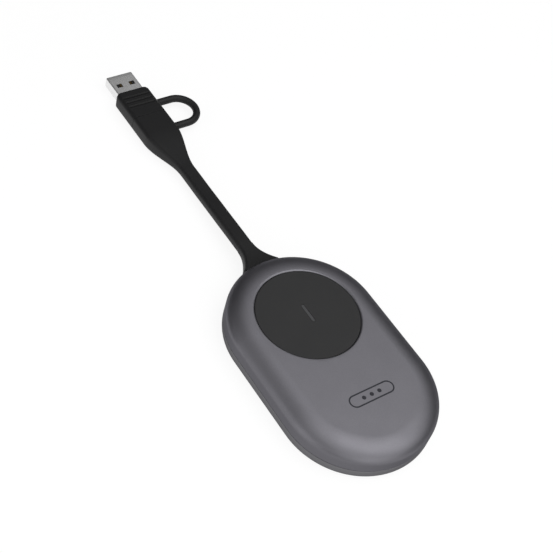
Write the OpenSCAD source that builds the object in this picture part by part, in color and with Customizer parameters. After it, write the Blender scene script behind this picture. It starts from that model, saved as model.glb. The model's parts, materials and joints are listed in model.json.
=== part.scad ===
// Wireless presentation dongle: an oval body with one large press button, and a
// short flat cable that ends in a plug with a tethered adapter on it.
// Millimetres. The origin is under the middle of the body, on the table.
// +Y points along the body towards the cable, and +Z points up.

/* [Body] */
// Width of the oval body
body_w = 59; // [57:0.5:64]
// Length of the oval body
body_l = 92.6; // [90:0.2:110]
// Height of the top face over the table
body_h = 13; // [12.8:0.1:15]
// Wall of the two covers
wall = 1.5; // [1.3:0.1:1.6]
// How far the rounded shoulder reaches in from the side
shoulder_in = 8.9; // [7:0.1:9.2]
// How far the rounded shoulder reaches down from the top face
shoulder_down = 4.7; // [4:0.1:5]
// How far the lower edge draws in
edge_in = 0.7; // [0.4:0.1:1.2]
// How far up the lower edge is rounded
edge_up = 1.9; // [1:0.1:2.4]
// Height of the parting line between the covers
split_z = 4.2; // [3.8:0.1:4.6]
// Width of the shadow gap at the parting line
split_gap = 0.2; // [0.1:0.05:0.3]
// Height of the lip that locates the covers
lip_h = 1.3; // [0.8:0.1:1.4]
// Thickness of that lip
lip_t = 0.7; // [0.6:0.05:0.8]
// Floor of the bottom cover
floor_t = 1.6; // [1.4:0.1:1.7]

/* [Base pad] */
// Thickness of the rubber pad
pad_t = 0.8; // [0.6:0.1:1]
// How far the pad stands below the bottom cover
pad_proud = 0.3; // [0.2:0.05:0.4]
// How far the pad stays inside the side of the body
pad_inset = 2.2; // [2:0.05:2.4]

/* [Button] */
// Width of the flat rim between the shoulder and the bevel of the button's hole
rim_w = 0.3; // [0.1:0.05:3]
// How far the button's centre lies back from the centre of the round end
button_back = 0.2; // [0:0.1:2]
// How far the face lies below the cover's top face
button_recess = 0.4; // [0.1:0.1:0.8]
// Thickness of the button's face plate
button_t = 1.4; // [1.2:0.1:1.5]
// How far the hidden flange reaches under the cover
flange_reach = 1.3; // [1:0.1:1.5]
// Thickness of the flange
flange_t = 1; // [0.8:0.1:1.2]
// Gap between the button's rim and the hole
button_gap = 0.2; // [0.15:0.05:0.4]
// Width of the bevel round the hole
bevel = 0.45; // [0.2:0.05:0.8]
// Travel of the button
press_travel = 0.6; // [0.3:0.1:0.8]
// Length of the light window
light_l = 9.2; // [6:0.2:12]
// Width of the light window
light_w = 1.2; // [0.8:0.1:2]
// How far the guide pins stand in from the button's rim
guide_in = 4.05; // [3.6:0.05:5]
// Radius of a guide pin
guide_r = 1.2; // [1:0.1:1.4]
// Running clearance of a guide pin in its sleeve
guide_fit = 0.1; // [0.05:0.05:0.15]

/* [Board] */
// Thickness of the circuit board
board_t = 1; // [0.8:0.1:1.2]
// Height of the board's lower face over the table
board_z = 5; // [4.8:0.1:5.2]
// Gap between the board's edge and the lip
board_fit = 0.5; // [0.3:0.1:1]
// Side of the switch's square body
switch_w = 6.2; // [5:0.1:6.4]
// Height of the switch's body
switch_h = 2.2; // [2:0.1:2.6]

/* [Screws] */
// Radius of a screw's shank
screw_r = 1; // [0.8:0.05:1.05]
// Radius of a screw's head
screw_head_r = 1.8; // [1.6:0.05:1.9]
// Height of a screw's head
screw_head_h = 1; // [0.8:0.1:1.1]
// How far the cable-end screws stand in from the side of the body
screw_top_in = 8.9; // [8.5:0.1:9.2]
// How far they lie past the centre of the round end
screw_top_past = 14.4; // [14.2:0.1:14.8]
// How far the other screws stand in from the side of the body
screw_low_in = 12; // [11:0.5:16]
// How far they lie past the centre of the other round end
screw_low_past = 13.2; // [12:0.2:14]

/* [Cable] */
// Width of the flat cable
strap_w = 6.2; // [5.6:0.1:6.3]
// Thickness of the flat cable
strap_t = 4.2; // [3.8:0.1:4.3]
// Corner radius of the flat cable
strap_corner = 1.3; // [0.8:0.1:1.6]
// Width of the strain relief where it meets the body
relief_w = 15.8; // [15:0.1:18]
// Height of the strain relief where it meets the body
relief_h = 5.8; // [5.6:0.1:6]
// Width of the relief's neck in the wall
neck_w = 11.6; // [10:0.2:12]
// Height of that neck
neck_h = 4.4; // [4:0.1:4.6]

/* [Plug] */
// Width of the plug's moulded body
plug_w = 15.1; // [13.8:0.1:16]
// Thickness of the plug's moulded body
plug_t = 7; // [6.6:0.1:8]
// Corner radius of the moulded bodies
plug_corner = 1.6; // [1:0.1:2]
// Length of the plug's body that has its full width
plug_full_l = 9.5; // [9:0.5:12]
// Width of the plug's metal shell
usbc_w = 8.25; // [8.1:0.05:8.4]
// Thickness of the plug's metal shell
usbc_t = 2.4; // [2.3:0.05:2.5]
// Length of that shell in front of the moulded body
usbc_l = 6.65; // [6:0.05:6.7]
// Clearance round that shell in the adapter
usbc_fit = 0.08; // [0.05:0.01:0.12]
// Thickness of the sheet that the shells are folded from
sheet_t = 0.3; // [0.2:0.02:0.32]

/* [Adapter] */
// Length of the adapter's moulded body
adapter_l = 15.3; // [15:0.1:18]
// Radius of its front corners, seen from above
adapter_front_r = 1.8; // [1:0.1:1.9]
// Number of grip grooves
groove_count = 3; // [2:1:4]
// Distance from one groove to the next
groove_pitch = 2.6; // [2.2:0.1:3]
// Radius of a groove
groove_r = 0.45; // [0.3:0.05:0.6]
// Width of the USB-A plug's shell
usba_w = 12; // [11.8:0.1:12.2]
// Thickness of the USB-A plug's shell
usba_t = 4.5; // [4.4:0.05:4.6]
// Length of that shell in front of the adapter's body
usba_l = 10.8; // [10.5:0.1:12.5]
// Length of that shell inside the adapter's body
usba_inside_l = 5.4; // [4.5:0.1:5.6]

/* [Tether] */
// Thickness of the tether
tether_d = 3.1; // [2.6:0.1:3.4]
// Distance between the tether's two ends
tether_span = 14.8; // [13:0.2:16]
// Straight length of each leg of the tether
tether_leg = 6.9; // [4:0.1:9]

/* [Hidden] */

$fn = 64;
// Overrun of a cut past the face it opens
cut = 0.5;
// Steps along a quarter of a rounded edge
edge_steps = 12;

// Body, worked out
end_r = body_w / 2;
straight_l = body_l - body_w;
end_y = straight_l / 2;
base_z = pad_proud;
floor_z = base_z + floor_t;
ceiling_z = body_h - wall;
shoulder_z = body_h - shoulder_down;
split_low_z = split_z - split_gap / 2;
split_high_z = split_z + split_gap / 2;
lip_top_z = split_z + lip_h;
// Clearance of the lip in the top cover, at its side and over its top
lip_fit = 0.1;
lip_out = wall - lip_t - lip_fit / 2;
lip_in = lip_out + lip_t;
inner_end_y = end_y + end_r - wall;
pad_pocket_z = pad_t;

// Board, worked out
board_top_z = board_z + board_t;
board_inset = lip_in + board_fit;
board_drill_fit = 0.15;

// Button, worked out
button_r = end_r - shoulder_in - rim_w - bevel - button_gap;
button_y = end_y - button_back;
guide_ring_r = button_r - guide_in;
button_top_z = body_h - button_recess;
plate_z = button_top_z - button_t;
flange_top_gap = 0.1;
flange_top_z = ceiling_z - flange_top_gap;
flange_z = flange_top_z - flange_t;
flange_r = button_r + flange_reach;
skirt_t = 1.6;
edge_round = 0.25;
hole_r = button_r + button_gap;
guide_count = 3;
guide_turn = 90;
// Gap that is left under each stop when the button is fully pressed
press_rest = 0.1;
guide_end_z = board_top_z + press_travel + press_rest + guide_fit;
boss_r = 2.5;
frame_top_z = flange_z - press_travel - press_rest;
frame_plate_t = 1.4;
sleeve_wall = 0.9;
sleeve_r = guide_r + guide_fit + sleeve_wall;
frame_margin = 0.6;
frame_in_r = guide_ring_r - sleeve_r - frame_margin;
frame_out_r = flange_r + 0.7 * guide_r;
frame_wall_t = 1.3;
frame_plate_z = board_top_z + frame_plate_t;
sleeve_top_z = plate_z - press_travel - press_rest;
dome_ring_r = button_r - skirt_t / 2;
dome_low_r = 1.3;
dome_top_r = 0.7;
dome_seat_gap = 0.05;

// Switch, lights and light guide
switch_top_z = board_top_z + switch_h;
plunger_r = 1.7;
plunger_out = 0.7;
plunger_in = 0.3;
plunger_fit = 0.1;
plunger_top_z = switch_top_z + plunger_out;
light_gap = 0.08;
light_seat_gap = 0.05;
light_y = button_y;
leg_l = 1;
leg_y = light_l / 2 - leg_l / 2;
led_h = 0.8;
leg_end_z = board_top_z + led_h + press_travel + press_rest;
led_w = 1.6;

// Screws, worked out
screw_top_x = end_r - screw_top_in;
screw_top_y = end_y + screw_top_past;
screw_low_x = end_r - screw_low_in;
screw_low_y = end_y + screw_low_past;
screw_places = [[screw_top_x, screw_top_y], [-screw_top_x, screw_top_y],
    [screw_low_x, -screw_low_y], [-screw_low_x, -screw_low_y]];
screw_seat_gap = 0.05;
screw_head_z = pad_pocket_z + screw_seat_gap;
screw_seat_z = screw_head_z + screw_head_h;
screw_drill_fit = 0.15;
thread_fit = 0.05;
thread_cover = 1;
screw_end_z = ceiling_z - 2 * thread_cover;
post_r = 2.3;
seat_r = screw_head_r + screw_drill_fit + 0.8;

// Parts on the board
processor_w = 14;
processor_t = 1.4;
processor_y = -4;
memory_w = 9;
memory_l = 11;
memory_t = 1.1;
memory_x = 14.5;
pad_side = 13;
spreader_fit = 0.75;
spreader_w = 2 * (screw_low_x - seat_r - spreader_fit);
spreader_l = 42;
spreader_t = 0.8;
spreader_tab_w = 12;
spreader_tab_l = 5;
spreader_z = floor_z;
thermal_z = spreader_z + spreader_t;
processor_z = board_z - processor_t;
radio_w = 15;
radio_l = 12;
radio_t = 0.8;
shield_t = 0.2;
radio_gap = 8.4;
radio_y = button_y - frame_out_r - radio_gap - radio_l / 2 - 2 * shield_t;
shield_h = 2.2;
chip_h = 0.9;
chip_w = 6;
antenna_end_gap = 4.8;
antenna_l = straight_l - 2 * antenna_end_gap;
antenna_h = 1.6;
antenna_t = 0.2;
antenna_rise = 0.8;
antenna_z = floor_z + antenna_rise;
coil_x = 1;
// How far the coil lies nearer the low end than the middle of the free top face
coil_low = 0.825;
flat_end_y = end_y + end_r - shoulder_in;
coil_y = (button_y - flange_r - flat_end_y) / 2 - coil_low;
coil_w = 20;
coil_l = 12;
coil_t = 0.2;
coil_turns = 3;
coil_track = 0.7;
coil_pitch = 1.2;
coil_corner = 3;
ferrite_t = 0.3;
ferrite_corner = 3.5;
ferrite_margin = 1;

// Cable, worked out. The route's points are chosen by hand, from the strain
// relief to the plug's tail: the flat cable leaves the body at half height and
// comes down until the plug lies on the table.
cable_z = 5.9;
relief_end_y = 57;
strap_route = [[0, 57, 5.9], [0, 60, 5.9], [0.1, 63, 5.8], [0.2, 66, 5.6],
    [0.3, 69, 5.4], [0.5, 72, 5.1], [0.6, 75, 4.9], [0.8, 78, 4.6],
    [0.9, 81, 4.4], [1.1, 84, 4.1], [1.2, 87, 3.9], [1.3, 90, 3.7],
    [1.4, 93, 3.6], [1.5, 96, 3.5], [1.5, 99, 3.5], [1.5, 102, 3.5]];
relief_wide_y = end_y + end_r;
relief_back = 2;
relief_tip_w = strap_w + 0.2;
relief_tip_h = strap_t + 0.2;
relief_power = 2;
relief_rings = 12;
relief_wall_fit = 0.1;
neck_fit = 0.15;
neck_y = inner_end_y - 1;
anchor_w = 14;
anchor_rise = 1.5;
anchor_low_z = floor_z + anchor_rise;
anchor_over = 0.1;
anchor_h = shoulder_z + anchor_over - anchor_low_z;
anchor_l = 2.6;
anchor_gap = 0.4;
anchor_y = end_y + sqrt(pow(end_r - lip_in, 2) - pow(anchor_w / 2, 2)) - anchor_gap;
notch_w = anchor_w + 1.2;
notch_y = anchor_y - anchor_l - 0.6;
connector_w = 7;
connector_h = 2.1;
connector_l = 5;
connector_y = notch_y - connector_l - 0.2;
lead_r = 0.4;
lead_pitch = 1.5;
lead_count = 4;
lead_z = board_z - connector_h / 2;

// Plug, worked out
plug_x = 1.5;
plug_z = plug_t / 2;
tail_y = 102;
plug_y = 133.5;
tail_l = plug_y - plug_full_l - tail_y;
tail_rings = 12;
ring_steps = 4;
usbc_back = 3;
card_w = 9;
card_t = 0.8;
card_l = 8;
card_fit = 0.1;
insert_slot_w = 7;
insert_slot_t = 1;
insert_slot_l = 5.2;

// Adapter, worked out
adapter_gap = 0.1;
adapter_y = plug_y + adapter_gap;
adapter_front_y = adapter_y + adapter_l;
groove_first = 4.1;
groove_w_share = 0.8;
groove_sink_share = 0.3;
receptacle_w = usbc_w + 2 * (usbc_fit + sheet_t);
receptacle_t = usbc_t + 2 * (usbc_fit + sheet_t);
receptacle_l = usbc_l + 2 * usbc_fit + sheet_t;
seat_fit = 0.05;
tongue_w = 6.6;
tongue_t = 0.7;
tongue_l = 4.6;
usba_back_y = adapter_front_y - usba_inside_l;
usba_tip_y = adapter_front_y + usba_l;
usba_corner = 0.5;
latch_w = 2.5;
latch_l = 2;
latch_x = 2.88;
latch_from_tip = 6.07;
seam_w = 0.15;
tongue_a_t = 1.9;
tongue_a_back = 0.5;
tongue_a_tip = 0.6;
tongue_a_fit = 0.12;
contact_t = 0.15;
contact_w = 1;
contact_l = 8;
contact_xs = [-3.5, -1, 1, 3.5];
contact_tip = 1;
adapter_card_w = 9;
adapter_card_t = 0.8;
adapter_card_fit = 0.1;
card_y = adapter_y + receptacle_l + adapter_card_fit;
card_end_y = usba_back_y + tongue_a_back - adapter_card_fit;

// Tether, worked out
tether_bend_r = tether_span / 2;
tether_x = plug_x + plug_w / 2;
tether_face_fit = 0.05;

// Half section of the oval, from the axis out: its lower edge is a quarter of an
// ellipse, its side is upright, and its shoulder is a quarter of a larger ellipse.
// "inset" moves the whole outline inwards.
function outline(low_z, inset, edge, top_inset) = concat(
    [[0, low_z]],
    edge ? [for (i = [0 : edge_steps])
        let (a = 90 * i / edge_steps)
        [end_r - inset - edge_in + edge_in * sin(a), low_z + edge_up * (1 - cos(a))]]
        : [[end_r - inset, low_z]],
    [for (i = [0 : edge_steps])
        let (a = 90 * i / edge_steps)
        [end_r - shoulder_in + (shoulder_in - inset) * cos(a),
            shoulder_z + (shoulder_down - top_inset) * sin(a)]],
    [[0, body_h - top_inset]]);

// Solid of the oval with the given half section
module oval(points) {
    mirrored = [for (i = [len(points) - 1 : -1 : 0]) [-points[i][0], points[i][1]]];
    for (turn = [0, 180])
        rotate([0, 0, turn])
            translate([0, end_y, 0])
                rotate_extrude(angle = 180, $fn = 96)
                    polygon(points);
    rotate([90, 0, 0])
        linear_extrude(straight_l, center = true)
            polygon(concat(points, mirrored));
}

// Flat oval plate, drawn in by "inset" from the side of the body
module oval_plate(inset, low_z, high_z) {
    translate([0, 0, low_z])
        linear_extrude(high_z - low_z)
            union() {
                for (s = [-1, 1])
                    translate([0, s * end_y])
                        circle(r = end_r - inset, $fn = 96);
                square([2 * (end_r - inset), straight_l], center = true);
            }
}

module body_outside() {
    oval(outline(base_z, 0, true, 0));
}

module body_inside() {
    oval(outline(floor_z, wall, false, wall));
}

// Block centred on x and y, standing on z = low
module block(x, y, low, w, l, h) {
    translate([x - w / 2, y - l / 2, low])
        cube([w, l, h]);
}

// Upright round bar between two heights
module bar(r, low, high) {
    translate([0, 0, low])
        cylinder(h = high - low, r = r);
}

// Rectangle with true round corners, centred
module round_rect(w, h, r) {
    square([w, h - 2 * r], center = true);
    square([w - 2 * r, h], center = true);
    for (x = [-1, 1])
        for (y = [-1, 1])
            translate([x * (w / 2 - r), y * (h / 2 - r)])
                circle(r = r, $fn = 32);
}

// Flat section with fully round ends, centred
module pill(w, h) {
    square([w - h, h], center = true);
    for (x = [-1, 1])
        translate([x * (w - h) / 2, 0])
            circle(r = h / 2, $fn = 32);
}

// Carries a section along +Y, centred on x = 0, z = 0
module along_y(y_from, y_to) {
    translate([0, y_to, 0])
        rotate([90, 0, 0])
            linear_extrude(y_to - y_from)
                children();
}

// One ring of a rounded rectangle in the plane y = place.y, with "steps" steps
// at each corner
function ring(place, w, h, r, steps) = [
    for (q = [0 : 3])
        for (i = [0 : steps])
            let (a = 90 * q + 90 * i / steps,
                sx = (q == 0 || q == 3) ? 1 : -1,
                sz = q < 2 ? 1 : -1)
            place + [sx * (w / 2 - r) + r * cos(a), 0, sz * (h / 2 - r) + r * sin(a)]];

// Closed skin through a list of rings that all have the same number of points
module skin(rings) {
    n = len(rings[0]);
    last = (len(rings) - 1) * n;
    sides = [for (k = [0 : len(rings) - 2])
        for (i = [0 : n - 1])
            let (a = k * n + i, b = k * n + (i + 1) % n)
            each [[a, b, b + n], [a, b + n, a + n]]];
    caps = [for (i = [1 : n - 2]) each [[0, i + 1, i], [last, last + i, last + i + 1]]];
    polyhedron(points = [for (r = rings) each r], faces = concat(sides, caps));
}

// Smooth step from 0 to 1
function ease(t) = t * t * (3 - 2 * t);

function mix(a, b, t) = a + (b - a) * t;

// Places each screw's own shape
module at_screws() {
    for (p = screw_places)
        translate([p[0], p[1], 0])
            children();
}

// Slot in the two covers for the neck of the strain relief
module neck_slot() {
    w = neck_w + 2 * neck_fit;
    h = neck_h + 2 * neck_fit;
    translate([-w / 2, neck_y - wall, cable_z - h / 2])
        cube([w, body_l, h]);
}

// Upper cover: shell with the shoulder, the button's hole and the screw posts
module top_cover() {
    color([0.44, 0.44, 0.46])
        difference() {
            body_outside();
            block(0, 0, base_z - cut, body_w + 2 * cut, body_l + 2 * cut,
                split_high_z - base_z + cut);
            difference() {
                body_inside();
                at_screws()
                    bar(post_r, board_top_z, body_h);
            }
            oval_plate(lip_out - lip_fit, split_z, lip_top_z + lip_fit);
            at_screws()
                bar(screw_r + thread_fit, board_z, screw_end_z + thread_cover);
            translate([0, button_y, 0]) {
                bar(hole_r, ceiling_z - cut, body_h + cut);
                translate([0, 0, body_h - bevel])
                    cylinder(h = bevel + cut, r1 = hole_r, r2 = hole_r + bevel + cut);
            }
            neck_slot();
        }
}

// Lower cover: tray with the lip, the screw seats and the pad's recess
module bottom_cover() {
    color([0.38, 0.38, 0.4])
        difference() {
            union() {
                difference() {
                    body_outside();
                    block(0, 0, split_low_z, body_w + 2 * cut, body_l + 2 * cut, body_h);
                }
                oval_plate(lip_out, split_low_z, lip_top_z);
            }
            difference() {
                oval_plate(lip_in, floor_z, body_h);
                at_screws()
                    bar(seat_r, base_z, board_z);
            }
            oval_plate(pad_inset - lip_fit, base_z - cut, pad_pocket_z);
            at_screws() {
                bar(screw_head_r + screw_drill_fit, base_z, screw_seat_z);
                bar(screw_r + screw_drill_fit, base_z, body_h);
            }
            neck_slot();
        }
}

// Rubber pad that the body stands on, set in the recess
module base_pad() {
    color([0.12, 0.12, 0.13])
        oval_plate(pad_inset, 0, pad_t);
}

// Four screws that hold the covers together through the board
module housing_screws() {
    recess_r = screw_head_r / 2;
    color([0.6, 0.6, 0.62])
        at_screws()
            difference() {
                union() {
                    bar(screw_head_r, screw_head_z, screw_seat_z);
                    bar(screw_r, screw_seat_z, screw_end_z);
                }
                translate([0, 0, screw_head_z - cut])
                    cylinder(h = screw_head_h / 2 + cut, r = recess_r, $fn = 6);
            }
}

// Places each guide pin's own shape round the button
module at_guides() {
    for (i = [0 : guide_count - 1])
        rotate([0, 0, guide_turn + 360 * i / guide_count])
            translate([guide_ring_r, 0, 0])
                children();
}

// Outline of the light window, seen from above
module light_outline(grow) {
    end_y_light = light_l / 2 - light_w / 2;
    for (s = [-1, 1])
        translate([0, s * end_y_light])
            circle(r = light_w / 2 + grow, $fn = 32);
    square([light_w + 2 * grow, 2 * end_y_light], center = true);
}

// Round press button: face plate, skirt with the flange, guide pins, switch boss
module share_button() {
    color([0.2, 0.2, 0.21])
        translate([0, button_y, 0])
            difference() {
                union() {
                    rotate_extrude($fn = 96)
                        polygon([[0, plate_z], [button_r - skirt_t, plate_z],
                            [button_r - skirt_t, flange_z], [flange_r, flange_z],
                            [flange_r, flange_top_z], [button_r, flange_top_z],
                            [button_r, button_top_z - edge_round],
                            [button_r - edge_round, button_top_z], [0, button_top_z]]);
                    bar(boss_r, plunger_top_z, plate_z + button_t / 2);
                    at_guides()
                        bar(guide_r, guide_end_z, plate_z + button_t / 2);
                }
                translate([0, 0, plate_z - light_seat_gap])
                    linear_extrude(button_t + light_seat_gap + cut)
                        light_outline(light_gap);
            }
}

// Light window with a leg down to each light
module light_bar() {
    color([0.32, 0.32, 0.33])
        translate([0, light_y, 0]) {
            translate([0, 0, plate_z])
                linear_extrude(button_t)
                    light_outline(0);
            for (s = [-1, 1])
                block(0, s * leg_y, leg_end_z, light_w, leg_l, plate_z - leg_end_z);
        }
}

// Moving pin of the switch
module switch_plunger() {
    color([0.15, 0.15, 0.15])
        translate([0, button_y, 0])
            bar(plunger_r, switch_top_z - plunger_in, plunger_top_z);
}

// Fixed ring with three sleeves, which guides the button and stops it
module button_frame() {
    color([0.25, 0.25, 0.27])
        translate([0, button_y, 0])
            difference() {
                union() {
                    rotate_extrude($fn = 96)
                        polygon([[frame_in_r, board_top_z], [frame_out_r, board_top_z],
                            [frame_out_r, frame_top_z],
                            [frame_out_r - frame_wall_t, frame_top_z],
                            [frame_out_r - frame_wall_t, frame_plate_z],
                            [frame_in_r, frame_plate_z]]);
                    at_guides()
                        bar(sleeve_r, board_top_z, sleeve_top_z);
                }
                at_guides()
                    bar(guide_r + guide_fit, board_top_z - cut, sleeve_top_z + cut);
            }
}

// Three rubber domes between the frame and the button's flange
module return_domes() {
    color([0.75, 0.75, 0.72])
        translate([0, button_y, 0])
            for (i = [0 : guide_count - 1])
                rotate([0, 0, guide_turn + 360 * (i + 1 / 2) / guide_count])
                    translate([dome_ring_r, 0, frame_plate_z])
                        cylinder(h = flange_z - frame_plate_z - dome_seat_gap,
                            r1 = dome_low_r, r2 = dome_top_r);
}

// Switch body with the well that its pin moves in
module tact_switch() {
    color([0.7, 0.7, 0.72])
        translate([0, button_y, 0])
            difference() {
                block(0, 0, board_top_z, switch_w, switch_w, switch_h);
                bar(plunger_r + plunger_fit,
                    switch_top_z - plunger_in - press_travel - press_rest, body_h);
            }
}

// Two lights under the ends of the window
module status_leds() {
    color([0.9, 0.9, 0.85])
        for (s = [-1, 1])
            block(0, light_y + s * leg_y, board_top_z, led_w, leg_l, led_h);
}

// Circuit board, notched for the cable's anchor
module main_board() {
    color([0.08, 0.3, 0.16])
        difference() {
            oval_plate(board_inset, board_z, board_top_z);
            at_screws()
                bar(screw_r + board_drill_fit, board_z - cut, board_top_z + cut);
            translate([-notch_w / 2, notch_y, board_z - cut])
                cube([notch_w, body_l, board_t + 2 * cut]);
        }
}

// Processor under the board
module processor() {
    color([0.1, 0.1, 0.11])
        block(0, processor_y, processor_z, processor_w, processor_w, processor_t);
}

// Two memory chips beside the processor
module memory_chips() {
    color([0.1, 0.1, 0.11])
        for (s = [-1, 1])
            block(s * memory_x, processor_y, board_z - memory_t, memory_w, memory_l, memory_t);
}

// Soft pad that carries the processor's heat to the spreader
module thermal_pad() {
    color([0.55, 0.6, 0.7])
        block(0, processor_y, thermal_z, pad_side, pad_side, processor_z - thermal_z);
}

// Metal plate on the floor of the bottom cover, with a tab at each end
module heat_spreader() {
    color([0.75, 0.75, 0.77]) {
        block(0, processor_y, spreader_z, spreader_w, spreader_l, spreader_t);
        block(0, processor_y, spreader_z, spreader_tab_w, spreader_l + 2 * spreader_tab_l,
            spreader_t);
    }
}

// Radio board with its chip
module radio_module() {
    color([0.06, 0.22, 0.3]) {
        block(0, radio_y, board_top_z, radio_w, radio_l, radio_t);
        block(0, radio_y, board_top_z + radio_t / 2, chip_w, chip_w, radio_t / 2 + chip_h);
    }
}

// Folded can over the radio
module radio_shield() {
    color([0.78, 0.78, 0.8])
        difference() {
            block(0, radio_y, board_top_z, radio_w + 4 * shield_t, radio_l + 4 * shield_t,
                shield_h);
            block(0, radio_y, board_top_z - cut, radio_w + 2 * shield_t,
                radio_l + 2 * shield_t, shield_h - shield_t + cut);
        }
}

// Flat antennas on the inner sides of the lower cover
module side_antennas() {
    color([0.7, 0.5, 0.2])
        for (s = [-1, 1])
            block(s * (end_r - lip_in - antenna_t / 2), 0, antenna_z,
                antenna_t, antenna_l, antenna_h);
}

// Flat spiral coil under the cover's face, made of nested tracks that are
// joined by short steps on one side
module tap_coil() {
    color([0.72, 0.45, 0.2])
        translate([coil_x, coil_y, ceiling_z - coil_t]) {
            for (i = [0 : coil_turns - 1])
                linear_extrude(coil_t)
                    difference() {
                        round_rect(coil_w - 2 * i * coil_pitch, coil_l - 2 * i * coil_pitch,
                            coil_corner);
                        round_rect(coil_w - 2 * i * coil_pitch - 2 * coil_track,
                            coil_l - 2 * i * coil_pitch - 2 * coil_track,
                            coil_corner - coil_track);
                    }
            for (i = [0 : coil_turns - 2])
                translate([coil_w / 2 - (i + 1) * coil_pitch - coil_track / 2, -coil_track / 2, 0])
                    cube([coil_pitch + coil_track / 2, coil_track, coil_t]);
        }
}

// Ferrite sheet that backs the coil
module ferrite_sheet() {
    color([0.2, 0.2, 0.2])
        translate([coil_x, coil_y, ceiling_z - coil_t - ferrite_t])
            linear_extrude(ferrite_t)
                round_rect(coil_w + 2 * ferrite_margin, coil_l + 2 * ferrite_margin,
                    ferrite_corner);
}

// Connector under the board that the cable's leads plug into
module cable_connector() {
    color([0.9, 0.88, 0.8])
        difference() {
            block(0, connector_y + connector_l / 2, board_z - connector_h,
                connector_w, connector_l, connector_h);
            for (i = [0 : lead_count - 1])
                translate([lead_pitch * (i - (lead_count - 1) / 2),
                    connector_y + connector_l / 2, lead_z])
                    rotate([-90, 0, 0])
                        cylinder(h = connector_l, r = lead_r, $fn = 24);
        }
}

// Four leads from the cable's anchor to the connector
module cable_leads() {
    lead_l = anchor_y - anchor_l - connector_y - connector_l / 2;
    color([0.75, 0.2, 0.15])
        for (i = [0 : lead_count - 1])
            translate([lead_pitch * (i - (lead_count - 1) / 2),
                connector_y + connector_l / 2, lead_z])
                rotate([-90, 0, 0])
                    cylinder(h = lead_l, r = lead_r, $fn = 24);
}

// Section of the flare at the share t of its length, from the body to the cable
function relief_ring(t) =
    let (u = pow(1 - t, relief_power))
    ring([0, mix(relief_wide_y, relief_end_y, t), cable_z],
        mix(relief_tip_w, relief_w, u), mix(relief_tip_h, relief_h, u),
        strap_corner, ring_steps);

// Moulded strain relief: a flare outside the body, a neck in the wall's slot
// and an anchor behind the wall
module cable_strain_relief() {
    color([0.12, 0.12, 0.13]) {
        difference() {
            skin(concat(
                [ring([0, relief_wide_y - relief_back, cable_z], relief_w, relief_h,
                    strap_corner, ring_steps)],
                [for (i = [0 : relief_rings]) relief_ring(i / relief_rings)]));
            oval_plate(-relief_wall_fit, 0, body_h);
        }
        translate([-neck_w / 2, anchor_y - anchor_l / 2, cable_z - neck_h / 2])
            cube([neck_w, relief_wide_y - anchor_y + anchor_l / 2, neck_h]);
        translate([-anchor_w / 2, anchor_y - anchor_l, anchor_low_z])
            cube([anchor_w, anchor_l, anchor_h]);
    }
}

// Flat cable between the strain relief and the plug's tail
module strap_cable() {
    cord_steps = 2;
    color([0.12, 0.12, 0.13])
        skin([for (p = strap_route) ring(p, strap_w, strap_t, strap_corner, cord_steps)]);
}

// Section of the plug's tail at the share t of its length, from cable to plug
function tail_ring(t) =
    ring([plug_x, tail_y + tail_l * t, plug_z],
        mix(strap_w, plug_w, ease(t)), mix(strap_t, plug_t, ease(t)),
        mix(strap_corner, plug_corner, ease(t)), ring_steps);

// Moulded body of the plug, with the S curve that narrows it to the cable
module plug_housing() {
    color([0.11, 0.11, 0.12])
        difference() {
            skin(concat([for (i = [0 : tail_rings]) tail_ring(i / tail_rings)],
                [ring([plug_x, plug_y, plug_z], plug_w, plug_t, plug_corner, ring_steps)]));
            translate([plug_x, 0, plug_z]) {
                along_y(plug_y - usbc_back, plug_y + cut)
                    pill(usbc_w + 2 * seat_fit, usbc_t + 2 * seat_fit);
                block(0, plug_y - usbc_back - card_l / 2, -card_t / 2 - card_fit,
                    card_w + 2 * card_fit, card_l + 2 * card_fit, card_t + 2 * card_fit);
            }
        }
}

// Small board in the plug
module plug_board() {
    color([0.08, 0.3, 0.16])
        translate([plug_x, 0, plug_z])
            block(0, plug_y - usbc_back - card_l / 2, -card_t / 2, card_w, card_l, card_t);
}

// Drawn metal shell of the USB-C plug, open at its front
module usb_c_shell() {
    color([0.72, 0.72, 0.74])
        translate([plug_x, 0, plug_z])
            difference() {
                along_y(plug_y - usbc_back, plug_y + usbc_l)
                    pill(usbc_w, usbc_t);
                along_y(plug_y - usbc_back - cut, plug_y + usbc_l + cut)
                    pill(usbc_w - 2 * sheet_t, usbc_t - 2 * sheet_t);
            }
}

// Plastic insert in that shell, slotted for the receptacle's tongue
module usb_c_insert() {
    inset = sheet_t + seat_fit;
    color([0.1, 0.1, 0.1])
        translate([plug_x, 0, plug_z])
            difference() {
                along_y(plug_y - usbc_back, plug_y + usbc_l - sheet_t)
                    pill(usbc_w - 2 * inset, usbc_t - 2 * inset);
                block(0, plug_y + usbc_l - insert_slot_l / 2, -insert_slot_t / 2,
                    insert_slot_w, insert_slot_l, insert_slot_t);
            }
}

// Moulded tether: two legs and a half ring, from the plug to the adapter
module tether_loop() {
    color([0.12, 0.12, 0.13])
        translate([tether_x + tether_face_fit, plug_y, plug_z]) {
            for (s = [-1, 1])
                translate([0, s * tether_bend_r, 0])
                    rotate([0, 90, 0])
                        cylinder(h = tether_leg, r = tether_d / 2, $fn = 32);
            translate([tether_leg, 0, 0])
                rotate([0, 0, -90])
                    rotate_extrude(angle = 180)
                        translate([tether_bend_r, 0])
                            circle(r = tether_d / 2, $fn = 32);
        }
}

// Outline of the adapter from above: a rectangle whose front corners are round
module adapter_plan() {
    r = adapter_front_r;
    translate([-plug_w / 2, adapter_y])
        square([plug_w, adapter_l - r]);
    translate([-plug_w / 2 + r, adapter_y])
        square([plug_w - 2 * r, adapter_l]);
    for (s = [-1, 1])
        translate([s * (plug_w / 2 - r), adapter_front_y - r])
            circle(r = r, $fn = 32);
}

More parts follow.
